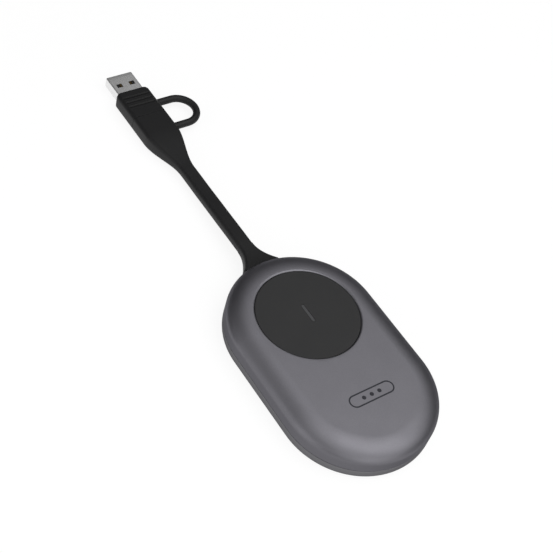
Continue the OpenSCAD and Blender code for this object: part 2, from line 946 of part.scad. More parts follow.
// Moulded body of the adapter, with grip grooves on both faces
module adapter_housing() {
    color([0.11, 0.11, 0.12])
        translate([plug_x, 0, plug_z])
            difference() {
                intersection() {
                    along_y(adapter_y, adapter_front_y)
                        round_rect(plug_w, plug_t, plug_corner);
                    translate([0, 0, -plug_t / 2])
                        linear_extrude(plug_t)
                            adapter_plan();
                }
                along_y(adapter_y - cut, adapter_y + receptacle_l)
                    pill(receptacle_w + 2 * seat_fit, receptacle_t + 2 * seat_fit);
                block(0, (card_y + card_end_y) / 2, -adapter_card_t,
                    adapter_card_w + 2 * adapter_card_fit,
                    card_end_y - card_y + 4 * adapter_card_fit, 2 * adapter_card_t);
                along_y(usba_back_y - seat_fit, adapter_front_y + cut)
                    round_rect(usba_w + 2 * seat_fit, usba_t + 2 * seat_fit, usba_corner);
                for (side = [-1, 1])
                    for (i = [0 : groove_count - 1])
                        translate([-plug_w * groove_w_share / 2,
                            adapter_front_y - groove_first - i * groove_pitch,
                            side * (plug_t / 2 + groove_r * groove_sink_share)])
                            rotate([0, 90, 0])
                                cylinder(h = plug_w * groove_w_share, r = groove_r, $fn = 24);
            }
}

// Small board between the receptacle and the USB-A plug
module adapter_board() {
    color([0.08, 0.3, 0.16])
        translate([plug_x, 0, plug_z])
            block(0, (card_y + card_end_y) / 2, -adapter_card_t / 2,
                adapter_card_w, card_end_y - card_y, adapter_card_t);
}

// Metal shell of the adapter's receptacle, closed at its back
module usb_c_receptacle() {
    inner_w = receptacle_w - 2 * sheet_t;
    inner_t = receptacle_t - 2 * sheet_t;
    color([0.72, 0.72, 0.74])
        translate([plug_x, 0, plug_z])
            difference() {
                along_y(adapter_y, adapter_y + receptacle_l)
                    pill(receptacle_w, receptacle_t);
                along_y(adapter_y - cut, adapter_y + receptacle_l - sheet_t)
                    pill(inner_w, inner_t);
            }
}

// Tongue in the receptacle
module usb_c_tongue() {
    back_y = adapter_y + receptacle_l - sheet_t;
    color([0.1, 0.1, 0.1])
        translate([plug_x, 0, plug_z])
            block(0, back_y - tongue_l / 2, -tongue_t / 2, tongue_w, tongue_l, tongue_t);
}

// Folded metal shell of the USB-A plug, with latch holes on both faces and the
// seam where its edges meet
module usb_a_shell() {
    color([0.62, 0.62, 0.63])
        translate([plug_x, 0, plug_z])
            difference() {
                along_y(usba_back_y, usba_tip_y)
                    round_rect(usba_w, usba_t, usba_corner);
                along_y(usba_back_y - cut, usba_tip_y + cut)
                    round_rect(usba_w - 2 * sheet_t, usba_t - 2 * sheet_t,
                        usba_corner - sheet_t / 2);
                for (s = [-1, 1])
                    block(s * latch_x, usba_tip_y - latch_from_tip, -usba_t,
                        latch_w, latch_l, 2 * usba_t);
                block(0, (usba_back_y + usba_tip_y) / 2, -usba_t / 2 - cut,
                    seam_w, usba_tip_y - usba_back_y + 2 * cut, sheet_t + 2 * cut);
            }
}

// Plastic tongue that carries the contacts, with a lead-in at its tip
module usb_a_insulator() {
    w = usba_w - 2 * sheet_t - 2 * tongue_a_fit;
    low = -usba_t / 2 + sheet_t + tongue_a_fit;
    back = usba_back_y + tongue_a_back;
    front = usba_tip_y - tongue_a_tip;
    color([0.14, 0.14, 0.15])
        translate([plug_x - w / 2, 0, plug_z + low])
            rotate([90, 0, 90])
                linear_extrude(w)
                    polygon([[back, 0], [front, 0], [front, tongue_a_t / 2],
                        [front - tongue_a_t / 2, tongue_a_t], [back, tongue_a_t]]);
}

// Four contact strips on the tongue
module usb_a_contacts() {
    top = plug_z - usba_t / 2 + sheet_t + tongue_a_fit + tongue_a_t;
    color([0.85, 0.68, 0.3])
        for (x = contact_xs)
            translate([plug_x + x - contact_w / 2,
                usba_tip_y - tongue_a_tip - contact_tip - contact_l, top])
                cube([contact_w, contact_l, contact_t]);
}

top_cover();
bottom_cover();
base_pad();
housing_screws();
share_button();
light_bar();
switch_plunger();
button_frame();
return_domes();
tact_switch();
status_leds();
main_board();
processor();
memory_chips();
thermal_pad();
heat_spreader();
radio_module();
radio_shield();
side_antennas();
tap_coil();
ferrite_sheet();
cable_connector();
cable_leads();
cable_strain_relief();
strap_cable();
plug_housing();
plug_board();
usb_c_shell();
usb_c_insert();
tether_loop();
adapter_housing();
adapter_board();
usb_c_receptacle();
usb_c_tongue();
usb_a_shell();
usb_a_insulator();
usb_a_contacts();
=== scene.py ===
# %% [markdown]
# A wireless presentation dongle
#
# This lesson dresses a small electronic product for its picture. The real one is an
# oval body, 93 mm long, with a satin grey top cover and one large round press button.
# A short flat cable ends in a plug that wears a tethered adapter.
# The solid model is already there, packed as a frame of named pieces that move on
# joints. Nothing in this file moves those pieces: it adds surfaces where they have to
# be smoother than the solids are, and gives every piece a finish.

# %% Load the frame
import json
import math

import bpy
import numpy as np
from mathutils import Matrix, Vector

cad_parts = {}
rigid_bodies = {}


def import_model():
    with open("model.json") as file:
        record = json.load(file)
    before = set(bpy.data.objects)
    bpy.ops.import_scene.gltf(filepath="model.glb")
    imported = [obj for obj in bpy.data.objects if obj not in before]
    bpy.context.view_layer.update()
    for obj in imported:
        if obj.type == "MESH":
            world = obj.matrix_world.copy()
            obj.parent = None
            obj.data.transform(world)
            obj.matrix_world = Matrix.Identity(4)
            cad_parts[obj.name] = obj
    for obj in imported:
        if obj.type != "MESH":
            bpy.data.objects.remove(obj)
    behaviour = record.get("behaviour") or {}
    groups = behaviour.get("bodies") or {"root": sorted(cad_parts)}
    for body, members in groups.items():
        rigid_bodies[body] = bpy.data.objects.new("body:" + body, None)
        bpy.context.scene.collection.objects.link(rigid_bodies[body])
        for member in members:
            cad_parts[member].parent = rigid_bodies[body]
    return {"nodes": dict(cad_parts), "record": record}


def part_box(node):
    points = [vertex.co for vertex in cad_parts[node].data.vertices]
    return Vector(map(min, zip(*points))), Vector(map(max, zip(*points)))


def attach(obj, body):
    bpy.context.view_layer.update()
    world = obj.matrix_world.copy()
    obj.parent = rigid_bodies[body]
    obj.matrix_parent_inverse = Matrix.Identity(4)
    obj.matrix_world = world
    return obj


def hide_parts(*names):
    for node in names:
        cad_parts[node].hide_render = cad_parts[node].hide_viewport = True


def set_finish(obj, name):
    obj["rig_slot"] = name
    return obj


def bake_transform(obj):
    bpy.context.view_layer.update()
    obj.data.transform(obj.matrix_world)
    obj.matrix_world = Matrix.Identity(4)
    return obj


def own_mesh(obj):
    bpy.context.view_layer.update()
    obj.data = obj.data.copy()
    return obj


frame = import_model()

MM = 0.001
scene = bpy.context.scene
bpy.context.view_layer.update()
print("pieces in the frame:", len(frame["nodes"]))

# %% [markdown]
# The camera comes first, because every choice of detail depends on how large a piece
# is in the picture. The photograph was taken from above the plug's left, with the
# camera rolled by 18 degrees, so that the object lies across the frame from corner
# to corner. A look-at point and a roll say that more plainly than three angles.

# %% Camera
CAMERA_PLACE = Vector((-204.97, -151.90, 333.42)) * MM
CAMERA_TARGET = Vector((7.17, 43.64, 0.0)) * MM
CAMERA_ROLL = math.radians(18.0)
CAMERA_LENS = 75.2
CAMERA_NEAREST = 10 * MM


def add_object(name, data):
    """Puts a mesh, a lamp or a camera into the scene."""
    thing = bpy.data.objects.new(name, data)
    scene.collection.objects.link(thing)
    return thing


def add_camera():
    """Looks from the place to the target, then rolls about the line of sight."""
    look = (CAMERA_TARGET - CAMERA_PLACE).normalized()
    level = look.cross(Vector((0, 0, 1))).normalized()
    upright = level.cross(look)
    right = math.cos(CAMERA_ROLL) * level + math.sin(CAMERA_ROLL) * upright
    up = math.cos(CAMERA_ROLL) * upright - math.sin(CAMERA_ROLL) * level
    data = bpy.data.cameras.new("camera")
    data.lens, data.clip_start = CAMERA_LENS, CAMERA_NEAREST
    camera = add_object("camera", data)
    camera.matrix_world = Matrix.Translation(CAMERA_PLACE) @ Matrix(
        (right, up, -look)).transposed().to_4x4()
    return camera


scene.camera = add_camera()
scene.view_settings.view_transform = "Standard"
print("camera distance in mm:", round((CAMERA_TARGET - CAMERA_PLACE).length / MM))

# %% [markdown]
# A new piece is a mesh made from whole numpy arrays of points and faces. The sign of
# the enclosed volume tells which way the faces look: where it is negative, all of them
# are turned round.

# %% From points to a piece
SHARP_ANGLE = math.radians(40)


def signed_volume(points, triangles):
    """A sixth of the sum of triple products; it is positive when faces point outwards."""
    a, b, c = (points[triangles[:, k]] for k in range(3))
    return float(np.einsum("ij,ij->i", a, np.cross(b, c)).sum() / 6)


def add_piece(name, points, faces, body, slot):
    """Makes a mesh from points in millimetres, turned outwards, and lets it ride."""
    triangles = np.concatenate(
        [f[:, [0, k, k + 1]] for f in faces for k in range(1, f.shape[1] - 1)])
    if signed_volume(points, triangles) < 0:
        faces = [f[:, ::-1] for f in faces]
    mesh = bpy.data.meshes.new(name)
    mesh.from_pydata((points * MM).tolist(), [], [q for f in faces for q in f.tolist()])
    mesh.polygons.foreach_set("use_smooth", np.ones(len(mesh.polygons), bool))
    mesh.set_sharp_from_angle(angle=SHARP_ANGLE)
    mesh.update()
    piece = add_object(name, mesh)
    if body:
        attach(piece, body)
    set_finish(piece, slot)
    return piece


print("edges are sharp from this angle in degrees:", round(math.degrees(SHARP_ANGLE)))

# %% [markdown]
# Almost every piece here is a stack of rings: closed outlines with the same number of
# points, joined by bands of quads. A housing, a cable, a press button and a folded
# metal shell all fit that one idea, so one builder serves them all.

# %% Rings into a solid
def band_faces(rows, count, closed):
    """Quads between neighbouring rings; with closed, the last ring meets the first."""
    last = rows if closed else rows - 1
    i, j = np.meshgrid(np.arange(last), np.arange(count), indexing="ij")
    up, side = (i + 1) % rows, (j + 1) % count
    quads = np.stack([i * count + j, i * count + side, up * count + side, up * count + j], -1)
    return quads.reshape(-1, 4)


def ring_solid(name, rings, body, slot, closed=False):
    """Closes a stack of rings into a solid: with a middle point at each end, or, where
    closed is true, by joining the last ring to the first as on a hollow shell."""
    rings = np.asarray(rings, float)
    rows, count = rings.shape[:2]
    points, faces = rings.reshape(-1, 3), [band_faces(rows, count, closed)]
    if not closed:
        edge = np.stack([np.arange(count), np.roll(np.arange(count), -1)], 1)
        points = np.vstack([points, rings[0].mean(0), rings[-1].mean(0)])
        faces.append(np.c_[edge[:, ::-1], np.full(count, rows * count)])
        faces.append(np.c_[edge + (rows - 1) * count, np.full(count, rows * count + 1)])
    return add_piece(name, points, faces, body, slot)


print("quads between 3 rings of 8 points:", len(band_faces(3, 8, closed=False)))

# %% [markdown]
# The cable is settled before the body, because a cable that lay wrongly would have to
# be moved in the solid model too. It is a flat moulded cable, 6.2 mm wide and 4.2 mm
# thick, and comes down from the body until the plug lies on the table. The route
# repeats the given points of the solid model. A curve with a bevel could only be
# round, so the flat section is carried along the route as rings.

# %% Flat cable
STRAP_WIDTH, STRAP_THICKNESS, STRAP_CORNER = 6.2, 4.2, 1.3
STRAP_ROUTE = np.array([
    [0, 57, 5.9], [0, 60, 5.9], [0.1, 63, 5.8], [0.2, 66, 5.6],
    [0.3, 69, 5.4], [0.5, 72, 5.1], [0.6, 75, 4.9], [0.8, 78, 4.6],
    [0.9, 81, 4.4], [1.1, 84, 4.1], [1.2, 87, 3.9], [1.3, 90, 3.7],
    [1.4, 93, 3.6], [1.5, 96, 3.5], [1.5, 99, 3.5], [1.5, 102, 3.5]])
STRAP_RINGS, SMOOTHED_OVER = 61, 9


def quarter_turn(steps):
    """Sines and cosines of evenly spaced angles from 0 to 90 degrees."""
    a = np.radians(np.linspace(0, 90, steps))
    return np.sin(a), np.cos(a)


def outlines_through(run, width, height, radius, corner_steps):
    """Round corners, and points at the run's places along both wide faces. One half is
    written out, and the other is the same half turned round."""
    sines, cosines = (v[None] for v in quarter_turn(corner_steps))
    x, y = width / 2 - radius * (1 - cosines), height / 2 - radius * (1 - sines)
    half = np.stack([np.hstack([x, run, -x[:, ::-1]]),
                     np.hstack([y, height / 2 + 0 * run, y[:, ::-1]])], -1)
    return np.concatenate([half, -half], 1)


def rounded_rectangles(width, height, radius, corner_steps=7, face_steps=9):
    """One outline for each entry of width, height and radius, with even places along
    the wide faces."""
    width, height, radius = (
        np.atleast_1d(v).astype(float)[:, None] for v in (width, height, radius))
    run = (width / 2 - radius) * np.linspace(1, -1, face_steps + 2)[1:-1]
    return outlines_through(run, width, height, radius, corner_steps)


def rings_along(places, outlines):
    """Stands an outline upright across +Y at each place: its x and y become x and z."""
    return places[:, None, :] + np.insert(outlines, 1, 0, axis=-1)


def smooth_route(points, steps, window):
    """Even steps along +Y, whose x and z are the running means over a window."""
    y = np.linspace(points[0, 1], points[-1, 1], steps)
    line = np.stack([np.interp(y, points[:, 1], points[:, k]) for k in range(3)], 1)
    padded = np.pad(line, ((window // 2, window // 2), (0, 0)), mode="edge")
    for k in (0, 2):
        line[:, k] = np.convolve(padded[:, k], np.ones(window) / window, "valid")
    return line


strap_line = smooth_route(STRAP_ROUTE, STRAP_RINGS, SMOOTHED_OVER)
strap_outline = rounded_rectangles(STRAP_WIDTH, STRAP_THICKNESS, STRAP_CORNER)
strap_cable = ring_solid("strap_cable_skin", rings_along(strap_line, strap_outline),
                         "root", "cable_rubber")
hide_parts("strap_cable")

# %% [markdown]
# The body is an oval: two half circles joined by straight sides. Every ring of the
# covers is that oval drawn in by some inset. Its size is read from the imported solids,
# so that the skins fit them without any measuring.

# %% Outlines of the body
def box_of(node):
    """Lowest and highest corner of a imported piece, in millimetres."""
    return [np.array(corner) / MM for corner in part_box(node)]


cover_low, cover_high = box_of("top_cover")
END_RADIUS = cover_high[0]
END_Y = cover_high[1] - END_RADIUS
SPLIT_HIGH_Z, TOP_Z = cover_low[2], cover_high[2]
BASE_Z = box_of("bottom_cover")[0][2]
SPLIT_GAP = 0.2
SPLIT_LOW_Z = SPLIT_HIGH_Z - SPLIT_GAP
ARC_STEPS, SIDE_STEPS = 112, 56


def oval(inset):
    """The oval drawn in by inset: the right side, the far half circle, and then the
    same points turned by half a turn about the middle."""
    radius = END_RADIUS - inset
    run = np.linspace(-1, 1, SIDE_STEPS, endpoint=False)
    turn = np.linspace(0, np.pi, ARC_STEPS, endpoint=False)
    side = np.c_[np.full(SIDE_STEPS, radius), run * END_Y]
    arc = np.c_[radius * np.cos(turn), END_Y + radius * np.sin(turn)]
    half = np.vstack([side, arc])
    return np.vstack([half, -half])


def level_ring(outline, height):
    """Lifts a flat outline of x and y to one height."""
    return np.c_[outline, np.full(len(outline), height)]


def upright(outline, *heights):
    """The same outline at each height."""
    return [level_ring(outline, height) for height in heights]


def oval_rings(*steps):
    """An oval for each pair of an inset and a height."""
    return [level_ring(oval(inset), height) for inset, height in steps]


print("body in mm:", np.round([2 * END_RADIUS, 2 * (END_Y + END_RADIUS), TOP_Z], 1))

# %% [markdown]
# The shoulder is a quarter of an ellipse, nearly 9 mm deep and 4.7 mm high. It gives
# the cover its pebble look, and its tight lower bend draws the soft crease along the
# side. An extrusion with a bevel would give round corners only, so the ellipse is
# written as a formula. The small broken edges are quarters of an ellipse too.

# %% Rounded edges
WALL = 1.5
SHOULDER_IN, SHOULDER_DOWN = 8.9, 4.7


def shoulder(inset, drop, steps):
    """Rings up the elliptical shoulder: the inset grows with the cosine and the height
    with the sine. inset and drop thin the ellipse for the inner skin."""
    sines, cosines = quarter_turn(steps)
    insets = SHOULDER_IN - (SHOULDER_IN - inset) * cosines
    heights = TOP_Z - SHOULDER_DOWN + (SHOULDER_DOWN - drop) * sines
    return oval_rings(*zip(insets, heights))


def rounded_edge(outline, across, height, rise, steps):
    """Rings over a quarter ellipse: the outline drawn in by across * (1 - sine), at
    height + rise * (1 - cosine)."""
    sines, cosines = quarter_turn(steps)
    return [level_ring(outline(across * (1 - s)), height + rise * (1 - c))
            for s, c in zip(sines, cosines)]


print("points in a ring of the body:", len(oval(0)))

# %% [markdown]
# The top cover is one closed shell. Its rings climb the side and the shoulder from the
# parting line, cross the flat top, go down the button's hole and come back along the
# inside. On the flat top they change from oval to round: each point of the rim lies on
# the line from the button's middle to a point of the oval. The face is kept a hair low,
# which leaves room for the thin print.
# In the photograph the button stands a little off the middle of its guide, and its
# bevel is wider on the side away from the camera. So the cap and the hole have a place
# of their own, and the bevel's outer edge is shifted a bit further.

# %% Top cover
INK = 0.02
FACE_Z = TOP_Z - INK
CEILING_Z = TOP_Z - WALL
button_low, button_high = box_of("share_button")
BUTTON_TOP_Z = button_high[2]
BUTTON_RADIUS, HOLE_RADIUS = 19.65, 19.75
GUIDE_PLACE = np.array([0, (button_low[1] + button_high[1]) / 2])
CAP_PLACE = GUIDE_PLACE + [0.35, 0.3]
BEVEL_IN, BEVEL_DOWN = 0.9, 0.45
BEVEL_SHIFT = np.array([0.25, 0.3])
EDGE_ROUND = 0.18
REBATE_IN, REBATE_TOP_Z = 0.65, 5.6
OUTER_STEPS, INNER_STEPS, BEVEL_STEPS, EDGE_STEPS = 40, 20, 8, 5


def rim(radius, share=0.0):
    """Circle round the button, with its points in line with those of the flat top. Its
    middle moves by a share of the bevel's shift."""
    away = oval(SHOULDER_IN) - CAP_PLACE
    circle_points = away / np.linalg.norm(away, axis=1)[:, None] * radius
    return circle_points + CAP_PLACE + share * BEVEL_SHIFT


def between(ring, other, share=0.04):
    """Rings a share of the way from each ring to the other. They keep the shading of a
    rounded edge from spreading over the flat face beside it."""
    return [ring + share * (other - ring), other + share * (ring - other)]


def top_cover_rings():
    """All rings of the cover, from the outer lower edge round to the inner one."""
    foot = rounded_edge(oval, EDGE_ROUND, SPLIT_HIGH_Z, EDGE_ROUND, EDGE_STEPS)
    outside = shoulder(0, INK, OUTER_STEPS)
    bevel = rounded_edge(lambda share: rim(HOLE_RADIUS + BEVEL_IN * share, share),
                         1, FACE_Z, -BEVEL_DOWN, BEVEL_STEPS)
    inside = shoulder(WALL, WALL, INNER_STEPS)[::-1]
    rebate = oval_rings((WALL, REBATE_TOP_Z), (REBATE_IN, REBATE_TOP_Z),
                        (REBATE_IN, SPLIT_HIGH_Z))
    return [*foot, *between(foot[-1], outside[0]), *outside, *between(outside[-1], bevel[0]),
            *bevel, level_ring(rim(HOLE_RADIUS), CEILING_Z), *inside, *rebate]


top_cover = ring_solid("top_cover_skin", top_cover_rings(), "root", "cover_paint", closed=True)
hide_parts("top_cover")
print("rings of the top cover:", len(top_cover_rings()))

# %% [markdown]
# The bottom cover is a tray. Its side goes on from the top cover's side after a fine
# shadow gap, and its lower edge is drawn in by a flatter ellipse, so that the body
# seems to float over the table. The recess for the rubber pad is part of the same
# stack of rings. Inside, the lip that locates the top cover closes the gap to light.

# %% Bottom cover
EDGE_IN, EDGE_UP, BASE_STEPS = 0.7, 1.9, 12
PAD_INSET, PAD_THICKNESS, PAD_FIT = 2.2, 0.8, 0.1
LIP_OUT, LIP_IN, LIP_TOP_Z = 0.75, 1.45, 5.5
FLOOR_THICKNESS, FLOOR_MIDDLE_INSET = 1.6, 25.0
FLOOR_Z = BASE_Z + FLOOR_THICKNESS


def bottom_cover_rings():
    """From the middle of the pad's recess, out, up the side, over the lip, and in."""
    recess = PAD_INSET - PAD_FIT
    underside = oval_rings((FLOOR_MIDDLE_INSET, PAD_THICKNESS), (recess, PAD_THICKNESS),
                           (recess, BASE_Z))
    side = rounded_edge(oval, EDGE_IN, BASE_Z, EDGE_UP, BASE_STEPS)
    top_edge = rounded_edge(oval, EDGE_ROUND, SPLIT_LOW_Z, -EDGE_ROUND, EDGE_STEPS)[::-1]
    inside = oval_rings((LIP_OUT, SPLIT_LOW_Z), (LIP_OUT, LIP_TOP_Z), (LIP_IN, LIP_TOP_Z),
                        (LIP_IN, FLOOR_Z), (FLOOR_MIDDLE_INSET, FLOOR_Z))
    return [*underside, *side, *top_edge, *inside]


bottom_cover = ring_solid("bottom_cover_skin", bottom_cover_rings(), "root", "base_plastic")
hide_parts("bottom_cover")
print("rings of the bottom cover:", len(bottom_cover_rings()))

# %% [markdown]
# The body stands on a rubber pad that is glued into the recess. Two tread grooves with
# sloping walls run round its underside and keep it from sliding.

# %% Rubber pad
PAD_EDGE = 0.3
TREAD_COUNT, TREAD_PITCH, TREAD_WIDTH, TREAD_DEPTH = 2, 2.4, 0.8, 0.25
TREAD_PROFILE = [(1 / 2, 0), (1 / 4, TREAD_DEPTH), (-1 / 4, TREAD_DEPTH), (-1 / 2, 0)]


def pad_rings():
    """From the middle of the underside over the grooves and the round edge to the flat
    back. The profile's first numbers are shares of a groove's width."""
    rings = oval_rings((FLOOR_MIDDLE_INSET, 0))
    for k in reversed(range(TREAD_COUNT)):
        middle = PAD_INSET + TREAD_PITCH * (k + 1)
        rings += oval_rings(*((middle + share * TREAD_WIDTH, z) for share, z in TREAD_PROFILE))
    rings += rounded_edge(lambda out: oval(PAD_INSET + out), PAD_EDGE, 0, PAD_EDGE, EDGE_STEPS)
    return rings + oval_rings((PAD_INSET, PAD_THICKNESS), (FLOOR_MIDDLE_INSET, PAD_THICKNESS))


base_pad = ring_solid("base_pad_skin", pad_rings(), "root", "pad_rubber")
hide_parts("base_pad")
print("tread grooves in the pad:", TREAD_COUNT)

# %% [markdown]
# The press button is a cap with a slot for the light window. The slot's outline is a
# capsule, the cap's edge is a circle, and both are written as a distance from the
# middle for the same even fan of angles, so that the face between them is one clean
# band. A ray meets the capsule's straight side first, or else its round end.

# %% Button and light window
LIGHT_LENGTH, LIGHT_WIDTH, LIGHT_GAP = 8.0, 1.2, 0.08
LIGHT_PLACE = CAP_PLACE + [0.2, 0.4]
LIGHT_EDGE, SLOT_EDGE, BUTTON_EDGE, CAP_STEPS = 0.08, 0.06, 0.2, 6
PLATE = 1.4
PLATE_Z = BUTTON_TOP_Z - PLATE
FLANGE_Z, FLANGE_TOP_Z, FLANGE_RADIUS = 10.4, 11.4, 20.95
SKIRT = 1.6
NARROW_BAND = 0.01
FAN_STEPS = 288
TINY = 1e-6


def unit_circle(steps):
    """Points of a circle of radius 1, counterclockwise from +X."""
    turn = np.linspace(0, 2 * np.pi, steps, endpoint=False)
    return np.c_[np.cos(turn), np.sin(turn)]


fan = unit_circle(FAN_STEPS)


def circle(radius, place=CAP_PLACE):
    """The fan's points at one distance from the place."""
    return fan * radius + place


def capsule(grow):
    """A capsule of the window's size, grown on all sides. A ray reaches the straight
    side at radius / across, or else the end's circle at its far crossing."""
    radius = LIGHT_WIDTH / 2 + grow
    reach = (LIGHT_LENGTH - LIGHT_WIDTH) / 2
    across, along = np.abs(fan[:, 0]), np.abs(fan[:, 1])
    to_side = radius / np.maximum(across, TINY)
    to_end = reach * along + np.sqrt(np.maximum(radius**2 - (reach * across)**2, 0))
    distance = np.where(to_side * along <= reach, to_side, to_end)
    return fan * distance[:, None] + LIGHT_PLACE


def button_rings():
    """Up the slot, across the face, over the rounded edge and down to the flange."""
    slot = [*upright(capsule(LIGHT_GAP), PLATE_Z, BUTTON_TOP_Z - SLOT_EDGE),
            level_ring(capsule(LIGHT_GAP + SLOT_EDGE), BUTTON_TOP_Z)]
    edge = rounded_edge(lambda inset: circle(BUTTON_RADIUS - inset),
                        BUTTON_EDGE, BUTTON_TOP_Z, -BUTTON_EDGE, CAP_STEPS)
    flange, skirt = (circle(r, GUIDE_PLACE) for r in (FLANGE_RADIUS, BUTTON_RADIUS - SKIRT))
    return [*slot, *between(slot[-1], edge[0], NARROW_BAND), *edge,
            level_ring(circle(BUTTON_RADIUS), FLANGE_TOP_Z),
            *upright(flange, FLANGE_TOP_Z, FLANGE_Z), *upright(skirt, FLANGE_Z, PLATE_Z)]


def light_rings():
    """A capsule plug with a barely rounded top edge."""
    return [*upright(capsule(0), PLATE_Z, BUTTON_TOP_Z - LIGHT_EDGE),
            level_ring(capsule(-LIGHT_EDGE), BUTTON_TOP_Z)]


share_button = ring_solid(
    "share_button_skin", button_rings(), "button", "button_plastic", closed=True)
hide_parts("share_button")
light_window = ring_solid("light_window", light_rings(), "button", "light_plastic")
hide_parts("light_bar")
print("gap round the button in mm:", round(HOLE_RADIUS - BUTTON_RADIUS, 2))

# %% [markdown]
# A skin that stands for a solid has to bring what the solid carries inside. The button
# has three guide stems and a boss that meets the switch's pin. Behind the button's face
# a strip joins the light window to two legs, which reach down to the lights. All of
# these are upright posts: an outline lifted from one level to another.

# %% Posts under the button
POST_EDGE, POST_STEPS, BURIED = 0.1, 48, 0.2
STEM_RING, STEM_RADIUS, STEM_END_Z = 15.6, 1.2, 6.8
BOSS_RADIUS, BOSS_END_Z = 2.5, 8.9
LEG_Y, LEG_LENGTH, LEG_END_Z = 4.1, 1.0, 7.5
STRIP_WIDTH, STRIP_LENGTH, STRIP_DOWN = 1.8, 10.0, 0.5


def around_button(radius, index, phase):
    """One of three places spaced evenly round the guide's middle; phase shifts it by a
    share of the spacing."""
    turn = np.radians(90 + 120 * (index + phase))
    return GUIDE_PLACE + [radius * np.cos(turn), radius * np.sin(turn)]


def round_rings(place, profile):
    """A circle round the place for each radius and height of the profile."""
    return [level_ring(unit_circle(POST_STEPS) * radius + place, z) for radius, z in profile]


def round_post(name, place, radius, low, high, body, slot, bore=0.0):
    """Up the outside from a broken edge; with a bore, back down the inside as well."""
    profile = [(radius - POST_EDGE, low), (radius, low + POST_EDGE), (radius, high)]
    if bore:
        profile += [(bore, high), (bore, low)]
    return ring_solid(name, round_rings(place, profile), body, slot, closed=bool(bore))


def light_block(name, place, width, length, low, high):
    """A rounded rectangle lifted from one level to another."""
    outline = rounded_rectangles(width, length, POST_EDGE)[0] + place
    return ring_solid(name, upright(outline, low, high), "button", "light_plastic")


for k in range(3):
    stem = round_post(f"button_stem_{k}", around_button(STEM_RING, k, 0), STEM_RADIUS,
                      STEM_END_Z, PLATE_Z + BURIED, "button", "button_plastic")
    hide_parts("share_button")
boss = round_post("button_boss", GUIDE_PLACE, BOSS_RADIUS, BOSS_END_Z, PLATE_Z + BURIED,
                  "button", "button_plastic")
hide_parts("share_button")
light_strip = light_block("light_strip", (LIGHT_PLACE + GUIDE_PLACE) / 2, STRIP_WIDTH,
                          STRIP_LENGTH, PLATE_Z - STRIP_DOWN, PLATE_Z + BURIED)
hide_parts("light_bar")
for k, side in enumerate((-1, 1)):
    light_leg = light_block(f"light_leg_{k}", GUIDE_PLACE + [0, side * LEG_Y], LIGHT_WIDTH,
                            LEG_LENGTH, LEG_END_Z, PLATE_Z)
    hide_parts("light_bar")
print("length of the stems in mm:", round(PLATE_Z - STEM_END_Z, 1))

# %% [markdown]
# The top cover has four screw posts, and the bottom cover has four seats for the
# screws. They are posts too, and each of them has a bore.

# %% Screw posts and seats
BOARD_Z, BOARD_TOP_Z = 5.0, 6.0
SCREW_POST_RADIUS, SCREW_POST_BORE = 2.3, 1.05
SEAT_RADIUS, SEAT_BORE = 2.75, 1.15
SCREW_PLACES = [(20.6, 31.2, 11.25), (-20.6, 31.2, 11.25), (17.5, -30.0, 11.8),
                (-17.5, -30.0, 11.8)]
for k, (*place, top) in enumerate(SCREW_PLACES):
    post = round_post(f"screw_post_{k}", place, SCREW_POST_RADIUS, BOARD_TOP_Z, top,
                      "root", "cover_paint", SCREW_POST_BORE)
    seat = round_post(f"screw_seat_{k}", place, SEAT_RADIUS, FLOOR_Z - BURIED, BOARD_Z,
                      "root", "base_plastic", SEAT_BORE)
    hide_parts("top_cover")
    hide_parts("bottom_cover")
print("screw posts:", len(SCREW_PLACES))

# %% [markdown]
# Three rubber domes lift the button again after a press. Each is a cone with a foot
# ring and a round head, and it stands on the guide frame under the button's flange. It
# can't follow a joint, because its foot stays while its head moves, so it stays on the
# root body with a mesh of its own.

# %% Return domes
DOME_RING = BUTTON_RADIUS - SKIRT / 2
dome_low, dome_high = box_of("return_domes")
DOME_FOOT_Z, DOME_HEIGHT = dome_low[2], dome_high[2] - dome_low[2]
DOME_PROFILE = [(1.3, 0.0), (1.3, 0.12), (1.12, 0.17), (0.95, 0.55), (0.82, 0.8),
                (0.76, 0.92), (0.66, 0.98), (0.5, 1.0)]  # radius, share of the height
for k in range(3):
    place = around_button(DOME_RING, k, 0.5)
    profile = [(radius, DOME_FOOT_Z + share * DOME_HEIGHT) for radius, share in DOME_PROFILE]
    dome = ring_solid(f"return_dome_{k}", round_rings(place, profile), "root", "dome_rubber")
    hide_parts("return_domes")
    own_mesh(dome)

# %% [markdown]
# The moulded strain relief flares like a trumpet where the cable meets the body. Its
# width and height shrink by a power of the distance: fast at the wall, and then hardly
# at all, so that the cable bends evenly and doesn't kink. Its first ring lies inside
# the wall, which seals the joint as the real moulding does.

# %% Strain relief
CABLE_Z = STRAP_ROUTE[0, 2]
RELIEF_START_Y, RELIEF_END_Y = END_Y + END_RADIUS, STRAP_ROUTE[0, 1]
RELIEF_WIDTH, RELIEF_HEIGHT, RELIEF_BACK = 15.8, 5.8, 1.8
RELIEF_POWER, RELIEF_STEP, RELIEF_RINGS = 2.0, 0.2, 36


def straight_line(y, x, z):
    """Places along +Y at one x and one height."""
    return np.c_[np.full_like(y, x), y, np.full_like(y, z)]


